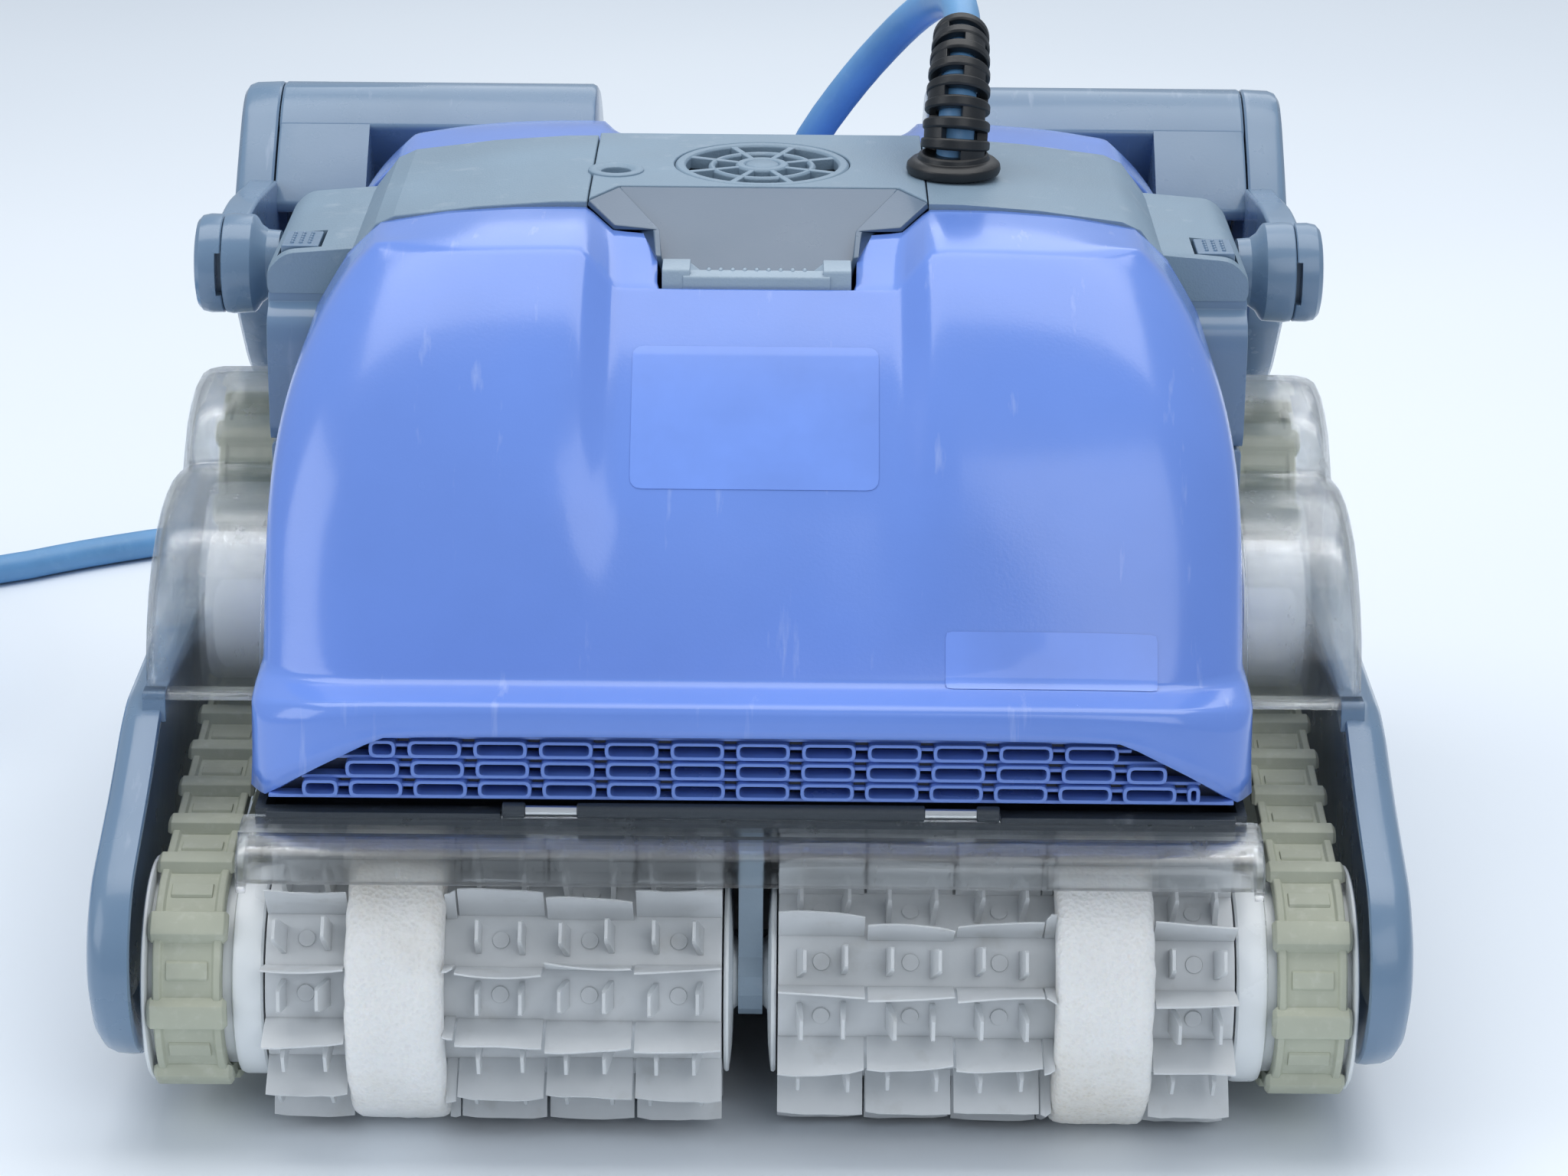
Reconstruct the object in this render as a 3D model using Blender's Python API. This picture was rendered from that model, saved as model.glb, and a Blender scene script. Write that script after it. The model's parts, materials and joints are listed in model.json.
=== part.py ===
"""Robotic pool cleaner on two rubber tracks, with four brush rollers, an opening lid,
a float handle and a long power cable.

Metres, +Z up, +X to the right as seen from the front, front at -Y. The origin is on the floor under
the machine's centre. Every size that stands by itself is named once below.
"""
import math

import bmesh
import bpy
from mathutils import Vector

# ---------------------------------------------------------------- driving sizes
GAP = 0.0003                    # clearance between two neighbouring pieces
RUN = 0.0006                    # running clearance round what turns

# wheels, brushes and tracks
AXLE_Y = 0.165                  # brush axles, in front of and behind the centre
AXLE_Z = 0.050
BRUSH_R = 0.0495                # tips of the blades
FOAM_R = 0.050                  # foam rings, which the machine stands on
DRUM_R = 0.034
DRUM_WALL = 0.004
BRUSH_IN_X = 0.009
BRUSH_OUT_X = 0.158
FOAM_IN_X = 0.099
FOAM_WIDTH = 0.032
BLADES = 12
BLADE_THICK = 0.0022
DISC_IN_X = 0.005
DISC_R = 0.033
STUB_R = 0.0055
HUB_R = 0.033
HUB_OUT_X = 0.168
FLANGE_R = 0.037
FLANGE_THICK = 0.0017
TRACK_IN_X = 0.170
TRACK_WIDTH = 0.026
BELT_R = 0.032                  # inner face of the belt where it wraps a wheel
BELT_THICK = 0.004
LUG_HEIGHT = 0.004
LUG_LENGTH = 0.009
LUG_PITCH = 0.026
ROLLER_Y, ROLLER_Z, ROLLER_R = -0.038, 0.132, 0.026
PULLEY_Y, PULLEY_Z = 0.028, 0.149
ROLLER_WIDTH = 0.022

# hull, lids and bands
HULL_BASE_Z = 0.022
HULL_BASE_Y = 0.100
HULL_RIM_Z = 0.118
HULL_RIM_Y = AXLE_Y + 0.024
HULL_WALL = 0.003
BRUSH_ROOM = 0.006
BRUSH_ARCH_R = max(BRUSH_R, FOAM_R) + BRUSH_ROOM   # hull's arch over each brush
INTAKE_Y = 0.060
INTAKE_SIZE = (0.150, 0.026)
LID_X = 0.1615
HULL_X = LID_X - 0.0015          # hull's sides are set in from the lid's
LID_WALL = 0.0025
LID_BASE_Z = 0.1215
LID_LEDGE_Z = 0.157
LID_LEDGE_Y = HULL_RIM_Y + 0.008
BAND_Y = 0.047                  # half the depth of the grey top band
BAND_TOP_Z = 0.2835
BAND_WALL = 0.0035
BAND_SEAM_X = 0.058
BAND_KNEE_X = 0.088             # first bend of the band's arch
BAND_EDGE_X = LID_X - 0.0395    # second bend
BAND_SHOULDER_X = LID_X - 0.0255
BRACKET_X = LID_X + 0.0085      # outer face of the handle's side brackets
BRACKET_TOP_Z = 0.262
BRACKET_STEP_Z = 0.203
SKIRT_X = LID_X + 0.0045        # band's side wall beside the tracks
OUTLET = (0.001, 0.004)
OUTLET_R = 0.031
TROUGH_FRONT_Y = -0.074
TROUGH_FRONT_X = 0.0325
TROUGH_Z = 0.262

# lid hinge and latch
LID_HINGE = (-HULL_RIM_Y - 0.0035, 0.1195)
HINGE_ROD_R = 0.0016
HINGE_ROD_X = 0.075
LATCH_DEPTH = 0.016
LATCH_HEIGHT = 0.009

# handle
PIVOT = (0.015, 0.243)
BOSS_R = 0.0175
BOSS_IN_X = 0.180
KNOB_IN_X = 0.191
KNOB_OUT_X = 0.201
NECK_R = 0.011
ARM_THICK = 0.008
ARM_HEIGHT = 0.020
FLOAT_IN_X = 0.063
CAP_IN_X = 0.184
CAP_OUT_X = 0.199
GRIP = (0.178, 0.235)
GRIP_R = 0.012

# side panels, track covers and guards
PANEL_IN_X = 0.1997
PANEL_OUT_X = 0.215
PANEL_WALL = 0.003
COVER_OUT_X = 0.206
COVER_WALL = 0.002
GUARD_X = LID_X + 0.0025
GUARD_WALL = 0.002
BRACKET_HALF = 0.004            # centre brackets between the two brush halves

# cable
RELIEF_XY = (0.068, -0.007)
RELIEF_FLANGE_R = 0.0165
RELIEF_FLANGE_H = 0.004
RELIEF_BASE_R, RELIEF_TIP_R = 0.012, 0.0098
RELIEF_LENGTH = 0.055
RELIEF_BEND = math.radians(74)
RELIEF_LEAN = 0.003
CABLE_R = 0.0065
COIL_CENTRE = (-0.500, 0.190)
COIL_MID_R = 0.117
COIL_TURNS_WIDE = 5
COIL_TURNS_HIGH = 5
PLUG_R = 0.017
PLUG_LENGTH = 0.070

LEFT, RIGHT = -1, 1
ROUND = 24                      # sides of a round piece


# ---------------------------------------------------------------- tools
def clear_scene():
    for item in list(bpy.data.objects):
        bpy.data.objects.remove(item, do_unlink=True)


def material(name, colour, roughness, metallic=0.0, alpha=1.0):
    mat = bpy.data.materials.new(name)
    mat.use_nodes = True
    shader = mat.node_tree.nodes["Principled BSDF"]
    shader.inputs["Base Color"].default_value = (*colour, 1.0)
    shader.inputs["Roughness"].default_value = roughness
    shader.inputs["Metallic"].default_value = metallic
    shader.inputs["Alpha"].default_value = alpha
    return mat


def finish_mesh(name, bm, mat, origin=(0.0, 0.0, 0.0), smooth=30):
    """Turn a bmesh into one named object whose origin is at the given point."""
    bmesh.ops.remove_doubles(bm, verts=bm.verts, dist=1e-6)
    bmesh.ops.recalc_face_normals(bm, faces=bm.faces)
    bmesh.ops.translate(bm, verts=bm.verts, vec=-Vector(origin))
    mesh = bpy.data.meshes.new(name)
    bm.to_mesh(mesh)
    bm.free()
    mesh.shade_smooth()
    mesh.set_sharp_from_angle(angle=math.radians(smooth))
    item = bpy.data.objects.new(name, mesh)
    item.location = origin
    item.data.materials.append(mat)
    bpy.context.collection.objects.link(item)
    return item


def to_world(axis, along, pair):
    """A 2-D point on the plane across an axis: X takes (y, z), Y takes (x, z), Z takes (x, y)."""
    a, b = pair
    return {"X": (along, a, b), "Y": (a, along, b), "Z": (a, b, along)}[axis]


def prism(bm, outline, axis, low, high):
    """Extrude a closed outline along an axis, from low to high."""
    ends = [[bm.verts.new(to_world(axis, at, p)) for p in outline] for at in (low, high)]
    bm.faces.new(ends[0])
    bm.faces.new(list(reversed(ends[1])))
    for i in range(len(outline)):
        j = (i + 1) % len(outline)
        bm.faces.new((ends[0][i], ends[0][j], ends[1][j], ends[1][i]))


def box(bm, low, high):
    outline = [(low[0], low[1]), (high[0], low[1]), (high[0], high[1]), (low[0], high[1])]
    prism(bm, outline, "Z", low[2], high[2])


def rings(bm, loops, cyclic=False):
    """Join loops of equal length into a skin: capped at both ends, or closed on itself."""
    rows = [[bm.verts.new(p) for p in loop] for loop in loops]
    count = len(rows[0])
    pairs = list(zip(rows, rows[1:]))
    if cyclic:
        pairs.append((rows[-1], rows[0]))
    else:
        bm.faces.new(rows[0])
        bm.faces.new(list(reversed(rows[-1])))
    for low, high in pairs:
        for i in range(count):
            j = (i + 1) % count
            bm.faces.new((low[i], low[j], high[j], high[i]))


def circle(radius, sides, centre=(0.0, 0.0), start=0.0):
    step = 2 * math.pi / sides
    return [(centre[0] + radius * math.cos(start + i * step),
             centre[1] + radius * math.sin(start + i * step)) for i in range(sides)]


def turned(bm, profile, axis, centre, sides=ROUND, cyclic=False):
    """Turn a profile of (place along the axis, radius) round an axis through centre."""
    loops = [[to_world(axis, at, p) for p in circle(r, sides, centre)] for at, r in profile]
    rings(bm, loops, cyclic)


def inset(outline, distance):
    """Move each side of a counter-clockwise outline inwards by the same distance."""
    moved = []
    count = len(outline)
    for i in range(count):
        before, here, after = (Vector(outline[(i + k) % count]) for k in (-1, 0, 1))
        n1 = Vector((-(here - before).y, (here - before).x)).normalized()
        n2 = Vector((-(after - here).y, (after - here).x)).normalized()
        across = (n1 + n2).normalized()
        moved.append(tuple(here + across * distance / max(across.dot(n1), 0.35)))
    return moved


def arc(centre, radius, start, end, steps):
    """Points on an arc, from one angle to another in degrees."""
    return [(centre[0] + radius * math.cos(math.radians(start + (end - start) * i / steps)),
             centre[1] + radius * math.sin(math.radians(start + (end - start) * i / steps)))
            for i in range(steps + 1)]


def subtract(item, name, build):
    """Cut the shape that build() makes in a bmesh out of an object."""
    bm = bmesh.new()
    build(bm)
    cutter = finish_mesh(item.name + "." + name, bm, item.data.materials[0])
    cutter.hide_render = True
    cutter.display_type = "WIRE"
    cut = item.modifiers.new(name, "BOOLEAN")
    cut.object = cutter
    cut.operation = "DIFFERENCE"
    cut.solver = "EXACT"


def side_name(side):
    return "left" if side == LEFT else "right"


def span(side, low, high):
    """The X range of a piece on one side, in rising order."""
    return (low, high) if side == RIGHT else (-high, -low)


def flip(end, outline):
    """Turn a front outline of (y, z) round to the rear when end is +1."""
    return [(y * -end, z) for y, z in outline]


# ---------------------------------------------------------------- materials
def make_materials():
    return {
        "blue": material("lid_blue", (0.16, 0.26, 0.80), 0.22),
        "dark": material("hull_dark_grey", (0.07, 0.085, 0.10), 0.5),
        "band": material("band_grey", (0.19, 0.25, 0.31), 0.5),
        "slate": material("panel_slate", (0.17, 0.24, 0.35), 0.25),
        "light": material("latch_light_grey", (0.42, 0.47, 0.52), 0.4),
        "clear": material("clear_plastic", (0.80, 0.84, 0.86), 0.1, alpha=0.35),
        "track": material("track_rubber", (0.33, 0.34, 0.24), 0.7),
        "pvc": material("brush_pvc", (0.50, 0.52, 0.53), 0.45),
        "foam": material("ring_foam", (0.78, 0.77, 0.74), 0.95),
        "white": material("wheel_white", (0.80, 0.83, 0.84), 0.35),
        "rubber": material("relief_rubber", (0.03, 0.025, 0.022), 0.55),
        "cable": material("cable_blue", (0.13, 0.33, 0.62), 0.4),
        "steel": material("hinge_steel", (0.6, 0.6, 0.6), 0.25, metallic=1.0),
        "filter": material("filter_fabric", (0.62, 0.66, 0.70), 0.9),
    }


# ---------------------------------------------------------------- hull
def hull_outline(shrink=0.0):
    """The tub's outline in Y and Z, counter-clockwise, with an arch over each brush."""
    radius = BRUSH_ARCH_R + shrink
    base = HULL_BASE_Z + shrink
    side = HULL_BASE_Y - shrink
    rim = HULL_RIM_Y - shrink
    half = [(side, base)] + arc((AXLE_Y, AXLE_Z), radius, 190, 92, 8) + [(rim, AXLE_Z + radius)]
    top = HULL_RIM_Z + (0.02 if shrink else 0.0)
    half.append((rim, top))
    return half + [(-y, z) for y, z in reversed(half)]


def base_hull(mats):
    bm = bmesh.new()
    prism(bm, hull_outline(), "X", -HULL_X, HULL_X)
    hull = finish_mesh("base_hull", bm, mats["dark"])
    inner = HULL_X - HULL_WALL
    subtract(hull, "bay", lambda b: prism(b, hull_outline(HULL_WALL), "X", -inner, inner))
    for end in (-1, 1):
        half_x, half_y = INTAKE_SIZE[0] / 2, INTAKE_SIZE[1] / 2
        low = (-half_x, end * INTAKE_Y - half_y, HULL_BASE_Z - 0.01)
        high = (half_x, end * INTAKE_Y + half_y, HULL_BASE_Z + 0.01)
        subtract(hull, "intake_front" if end < 0 else "intake_rear", lambda b: box(b, low, high))


def centre_bracket(end, mats):
    """Plate between the two brush halves, which holds their inner ends."""
    axle = (end * AXLE_Y, AXLE_Z)
    bm = bmesh.new()
    width, eye = 0.010, 0.014
    top = AXLE_Z + BRUSH_ARCH_R - GAP - 0.001
    outline = arc(axle, eye, 135, 405, 10)
    outline += [(axle[0] + width, AXLE_Z + 0.02), (axle[0] + width, top),
                (axle[0] - width, top), (axle[0] - width, AXLE_Z + 0.02)]
    prism(bm, outline, "X", -BRACKET_HALF, BRACKET_HALF)
    name = "front_bracket" if end < 0 else "rear_bracket"
    bracket = finish_mesh(name, bm, mats["light"])
    bore = [(-0.01, STUB_R + RUN), (0.01, STUB_R + RUN)]
    subtract(bracket, "bore", lambda b: turned(b, bore, "X", axle, 16))


def motor_unit(mats):
    bm = bmesh.new()
    box(bm, (-0.085, -0.036, HULL_BASE_Z + HULL_WALL + GAP), (0.085, 0.036, 0.175))
    finish_mesh("motor_unit", bm, mats["dark"])


def filter_cartridge(end, mats):
    """Basket that stands on an intake, open at the bottom."""
    low, high = sorted((end * 0.042, end * 0.090))
    floor, top, half, wall = HULL_BASE_Z + HULL_WALL + GAP, 0.200, LID_X - 0.0165, 0.0025
    bm = bmesh.new()
    box(bm, (-half, low, floor), (half, high, top))
    name = "filter_cartridge_front" if end < 0 else "filter_cartridge_rear"
    basket = finish_mesh(name, bm, mats["filter"])
    inner = ((-half + wall, low + wall, floor - 0.01), (half - wall, high - wall, top - wall))
    subtract(basket, "bay", lambda b: box(b, *inner))


# ---------------------------------------------------------------- lids
LID_PROFILE = [(BAND_Y + GAP, 0.2810), (0.074, 0.2800), (0.0933, 0.2775), (0.108, 0.2660),
               (0.130, 0.2430), (0.150, 0.2140), (0.165, 0.1860), (0.174, 0.1620),
               (LID_LEDGE_Y - 0.018, LID_LEDGE_Z), (LID_LEDGE_Y, LID_LEDGE_Z), (LID_LEDGE_Y + 0.001, 0.147)]
NOTCH_ROWS = 2                  # profile rows that the latch's notch takes in
CREASE_X = LID_X - 0.0245


def lid_columns(row):
    """Places across half a lid on one profile row: (x, set back, drop, recess share)."""
    notch = (BAND_SEAM_X + GAP, TROUGH_FRONT_X + GAP, TROUGH_FRONT_X + GAP)
    inner = notch[row] if row <= NOTCH_ROWS else 0.047
    outer = 0.070 if row == 0 else 0.058
    lean = min(row / 3.0, 1.0)
    top = BAND_EDGE_X + (CREASE_X - BAND_EDGE_X) * min(row / 5.0, 1.0)
    return [(0.0, 0.0, 0.0, 1.0), (inner, 0.0, 0.0, 1.0), (outer, 0.0, 0.0, 0.0),
            (top, 0.003 * lean, 0.006, 0.0),
            (LID_X - 0.0115, 0.010 * lean, 0.014 + 0.012 * (1 - lean), 0.0),
            (LID_X, 0.026 * lean, 0.030 + 0.032 * (1 - lean), 0.0)]


def lid_point(row, column, side, end):
    y, z = LID_PROFILE[row]
    x, back, drop, recess = lid_columns(row)[column]
    ledge = 8
    if row < ledge:
        depth = 0.016 * recess * max(0.0, 1.0 - row / 6.0)
        if row < NOTCH_ROWS:
            depth = 0.0
        y -= back
        z -= drop * (1.0 if row < 6 else 0.3) + depth
        z = max(z, LID_LEDGE_Z + 0.004 * (ledge - row))
    elif row == len(LID_PROFILE) - 1:
        z -= 0.022 * (column == 5) + 0.010 * (column == 4)
        y -= 0.002 * (column >= 4)
    else:
        y -= back * 0.12
    return (side * x, end * y, z)


def lid_shell(name, end, mats, with_notch):
    """Outer skin of a lid as a grid of rows and columns, given its wall by a Solidify."""
    bm = bmesh.new()
    rows = len(LID_PROFILE)
    origin = (0.0, *LID_HINGE) if with_notch else (0.0, 0.0, 0.0)
    grid = []
    for row in range(rows):
        y = min(LID_PROFILE[row][0], LID_LEDGE_Y - 0.003 * (rows - 1 - row) - 0.001)
        foot = LID_BASE_Z
        line = [(-LID_X, end * y, foot)]
        line += [lid_point(row, c, LEFT, end) for c in range(5, 0, -1)]
        line += [lid_point(row, c, RIGHT, end) for c in range(6)]
        line.append((LID_X, end * y, foot))
        grid.append([bm.verts.new(Vector(p)) for p in line])
    middle = 6
    for row in range(rows - 1):
        for c in range(len(grid[0]) - 1):
            in_notch = c in (middle - 1, middle) and row < NOTCH_ROWS
            if with_notch and in_notch:
                continue
            bm.faces.new((grid[row][c], grid[row][c + 1], grid[row + 1][c + 1], grid[row + 1][c]))
    loose = [v for v in bm.verts if not v.link_faces]
    bmesh.ops.delete(bm, geom=loose, context="VERTS")
    if end > 0:
        bmesh.ops.reverse_faces(bm, faces=bm.faces)
    bmesh.ops.translate(bm, verts=bm.verts, vec=-Vector(origin))
    mesh = bpy.data.meshes.new(name)
    bm.to_mesh(mesh)
    bm.free()
    mesh.shade_smooth()
    mesh.set_sharp_from_angle(angle=math.radians(20))
    lid = bpy.data.objects.new(name, mesh)
    lid.location = origin
    lid.data.materials.append(mats["blue"])
    bpy.context.collection.objects.link(lid)
    wall = lid.modifiers.new("wall", "SOLIDIFY")
    wall.thickness = LID_WALL
    wall.offset = -1.0
    wall.use_even_offset = True
    return lid


def lid_grille(end, mats):
    """Lattice plate that closes the intake under the lid's fascia."""
    name = "front_grille" if end < 0 else "rear_grille"
    origin = (0.0, *LID_HINGE) if end < 0 else (0.0, 0.0, 0.0)
    inner_y, thick = HULL_RIM_Y + 0.0005, 0.003
    low_z, high_z = LID_BASE_Z + 0.001, LID_LEDGE_Z - LID_WALL - GAP
    low_x, high_x = LID_X - 0.0115, LID_X - 0.0415
    bm = bmesh.new()
    outline = [(-low_x, low_z), (low_x, low_z), (high_x, high_z), (-high_x, high_z)]
    prism(bm, outline, "Y", *sorted((end * inner_y, end * (inner_y + thick))))
    grille = finish_mesh(name, bm, mats["blue"], origin)
    cell, pitch, row_pitch = (0.0156, 0.0050), 0.0207, 0.0080

    def cells(b):
        for row in range(3):
            z = LID_BASE_Z + 0.006 + row * row_pitch
            shift = pitch / 2 if row % 2 else 0.0
            room = low_x - (low_x - high_x) * (z - low_z + cell[1]) / (high_z - low_z)
            for k in range(-7, 8):
                x = k * pitch + shift
                if abs(x) + cell[0] / 2 + 0.002 < room:
                    middle = end * (inner_y + thick / 2)
                    box(b, (x - cell[0] / 2, middle - 0.01, z - cell[1] / 2),
                        (x + cell[0] / 2, middle + 0.01, z + cell[1] / 2))
    subtract(grille, "cells", cells)


def lid_hinge_rod(mats):
    bm = bmesh.new()
    ends = [(-HINGE_ROD_X, HINGE_ROD_R), (HINGE_ROD_X, HINGE_ROD_R)]
    turned(bm, ends, "X", LID_HINGE, 12)
    finish_mesh("lid_hinge_rod", bm, mats["steel"])


def lid_latch(mats):
    back = TROUGH_FRONT_Y - 0.0025
    front = back - LATCH_DEPTH + 0.001
    low, high = TROUGH_Z + 0.0005, TROUGH_Z + 0.0005 + LATCH_HEIGHT
    outline = [(front, low), (back, low), (back, high - 0.0015), (back - 0.003, high),
               (front + 0.003, high - 0.0005), (front, high - 0.003)]
    bm = bmesh.new()
    half = TROUGH_FRONT_X - 0.0005
    prism(bm, outline, "X", -half, half)
    finish_mesh("front_latch", bm, mats["light"], (0.0, *latch_hinge()))


def latch_hinge():
    return (TROUGH_FRONT_Y - LATCH_DEPTH, TROUGH_Z + 0.003)


# ---------------------------------------------------------------- top band
def outlet_cover(mats):
    """Centre cover: round outlet grille at the top, and a trough down to the latch."""
    half = BAND_SEAM_X - GAP
    wide, narrow = half, TROUGH_FRONT_X - GAP
    rows = [(BAND_Y - GAP, BAND_TOP_Z, wide), (-0.0285, BAND_TOP_Z + 0.001, wide),
            (-BAND_Y + GAP, 0.2755, wide), (TROUGH_FRONT_Y + GAP, TROUGH_Z + 0.0015, narrow)]
    bm = bmesh.new()
    rings(bm, [[(-h, y, z - BAND_WALL), (h, y, z - BAND_WALL), (h, y, z), (-h, y, z)]
               for y, z, h in rows])
    cover = finish_mesh("outlet_cover", bm, mats["band"])
    low, high = BAND_TOP_Z - 0.02, BAND_TOP_Z + 0.02

    def slots(b):
        for inner, outer, count in ((0.006, 0.016, 6), (0.019, 0.029, 8)):
            for k in range(count):
                start, end = (k + 0.08) * 360 / count, (k + 0.92) * 360 / count
                outline = arc(OUTLET, outer, start, end, 4) + arc(OUTLET, inner, end, start, 2)
                prism(b, outline, "Z", low, high)
    subtract(cover, "slots", slots)


def band_half(side, mats):
    """Grey band from the centre seam over the shoulder and down beside the tracks."""
    t = BAND_WALL
    seam = BAND_SEAM_X + GAP
    outer = [(seam, BAND_TOP_Z), (BAND_KNEE_X, 0.2825), (BAND_EDGE_X, 0.2755),
             (BAND_SHOULDER_X, BRACKET_TOP_Z),
             (BRACKET_X, BRACKET_TOP_Z), (BRACKET_X, BRACKET_STEP_Z),
             (SKIRT_X, BRACKET_STEP_Z - 0.004), (SKIRT_X, HULL_RIM_Z + 0.0005)]
    inner = [(SKIRT_X - t, HULL_RIM_Z + 0.0005), (SKIRT_X - t, BRACKET_STEP_Z - 0.003),
             (BRACKET_X - t, BRACKET_STEP_Z + 0.001), (BRACKET_X - t, BRACKET_TOP_Z - t),
             (BAND_SHOULDER_X - 0.0015, BRACKET_TOP_Z - t), (BAND_EDGE_X - 0.0015, 0.2755 - t),
             (BAND_KNEE_X, 0.2825 - t), (seam, BAND_TOP_Z - t)]
    bm = bmesh.new()
    outline = [(side * x, z) for x, z in outer + inner]
    prism(bm, outline, "Y", -BAND_Y + GAP, BAND_Y - GAP)
    band = finish_mesh("band_" + side_name(side), bm, mats["band"])
    low, high = button_box(side, clearance=GAP)
    subtract(band, "button_hole", lambda b: box(b, low, high))


def button_box(side, clearance=0.0):
    """Corners of a release button, or of the hole that it slides in."""
    x0, x1 = span(side, BRACKET_X - 0.018 - clearance, BRACKET_X - 0.005 + clearance)
    lift = 0.01 if clearance else 0.0
    low = (x0, -0.034 - clearance, BRACKET_TOP_Z - 0.006 - lift)
    high = (x1, -0.015 + clearance, BRACKET_TOP_Z + 0.0012 + lift)
    return low, high


def release_button(side, mats):
    low, high = button_box(side)
    middle = tuple((a + b) / 2 for a, b in zip(low, high))
    bm = bmesh.new()
    box(bm, low, high)
    finish_mesh(f"{side_name(side)}_release_button", bm, mats["band"], middle)


# ---------------------------------------------------------------- handle
FLOAT_REAR = [(0.1845, 0.1648), (0.203, 0.1665), (0.212, 0.182), (0.206, 0.225), (0.190, 0.257),
              (0.168, 0.273), (0.145, 0.2796), (0.136, 0.279), (0.126, 0.274)]
FLOAT_OUTLINE = FLOAT_REAR + [(0.119, 0.268), (0.134, 0.2475), (0.1545, 0.2175), (0.170, 0.189),
                              (0.180, 0.1695)]
CAP_OUTLINE = FLOAT_REAR + [(0.108, 0.259), (0.0935, 0.244), (0.088, 0.233), (0.0865, 0.218),
                            (0.0871, 0.2028), (0.1161, 0.1727), (0.135, 0.161)]


def handle_side(side, mats):
    """Pivot boss, arm, float and end cap on one side; all turn about the pivot."""
    origin = (0.0, *PIVOT)
    word = side_name(side)

    def along(profile):
        return [(side * x, r) for x, r in profile]

    bm = bmesh.new()
    boss = [(BRACKET_X + GAP, NECK_R), (BOSS_IN_X, NECK_R), (BOSS_IN_X + 0.0005, BOSS_R),
            (KNOB_IN_X - GAP, BOSS_R)]
    turned(bm, along(boss), "X", PIVOT)
    arm = finish_mesh("handle_arm_" + word, bm, mats["slate"], origin)
    low, high = PIVOT[1] - ARM_HEIGHT / 2, PIVOT[1] + ARM_HEIGHT / 2
    reach = CAP_OUTLINE[len(FLOAT_REAR) + 2][0] - GAP
    bar = [(PIVOT[0], low), (reach, low), (reach + 0.004, high), (PIVOT[0], high)]
    inner = BOSS_IN_X + 0.0012
    helper = bmesh.new()
    prism(helper, bar, "X", *span(side, inner, inner + ARM_THICK))
    tool = finish_mesh(arm.name + ".bar", helper, mats["slate"])
    tool.hide_render = True
    tool.display_type = "WIRE"
    join = arm.modifiers.new("bar", "BOOLEAN")
    join.object = tool
    join.operation = "UNION"
    join.solver = "EXACT"

    bm = bmesh.new()
    prism(bm, FLOAT_OUTLINE, "X", *span(side, FLOAT_IN_X, CAP_IN_X - GAP))
    finish_mesh("float_" + word, bm, mats["slate"], origin)

    bm = bmesh.new()
    rounded = inset(CAP_OUTLINE, 0.004)
    loops = [[(side * x, y, z) for y, z in line]
             for x, line in ((CAP_IN_X, CAP_OUTLINE), (CAP_OUT_X - 0.005, CAP_OUTLINE),
                             (CAP_OUT_X, rounded))]
    rings(bm, loops)
    finish_mesh("float_cap_" + word, bm, mats["slate"], origin)

    bm = bmesh.new()
    knob = [(KNOB_IN_X, BOSS_R), (KNOB_OUT_X - 0.002, BOSS_R), (KNOB_OUT_X, BOSS_R - 0.002)]
    turned(bm, along(knob), "X", PIVOT)
    lock = finish_mesh("lock_knob_" + word, bm, mats["slate"], origin)
    slot_x = span(side, KNOB_OUT_X - 0.002, KNOB_OUT_X + 0.01)
    subtract(lock, "slot", lambda b: box(b, (slot_x[0], PIVOT[0] - 0.001, PIVOT[1] - 0.008),
                                         (slot_x[1], PIVOT[0] + 0.001, PIVOT[1] + 0.008)))


def grip_bar(mats):
    half = FLOAT_IN_X - GAP
    bm = bmesh.new()
    profile = [(-half, GRIP_R), (0.0, GRIP_R - 0.001), (half, GRIP_R)]
    turned(bm, profile, "X", GRIP, 20)
    finish_mesh("grip_bar", bm, mats["slate"], (0.0, *PIVOT))


# ---------------------------------------------------------------- brushes and wheels
def blade_outline(centre):
    """Cross-section of the brush: thin blades standing on a drum."""
    step = 2 * math.pi / BLADES
    foot = BLADE_THICK * 0.7 / DRUM_R
    tip = BLADE_THICK * 0.35 / BRUSH_R
    points = []
    for k in range(BLADES):
        middle = (k + 0.5) * step
        for angle, radius in ((-foot, DRUM_R), (-tip, BRUSH_R), (tip, BRUSH_R), (foot, DRUM_R)):
            points.append((centre[0] + radius * math.cos(middle + angle),
                           centre[1] + radius * math.sin(middle + angle)))
    return points


def smooth_outline(centre, radius):
    """A round cross-section with the same number of points as blade_outline."""
    out = []
    for y, z in blade_outline((0.0, 0.0)):
        scale = radius / math.hypot(y, z)
        out.append((centre[0] + y * scale, centre[1] + z * scale))
    return out


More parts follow.
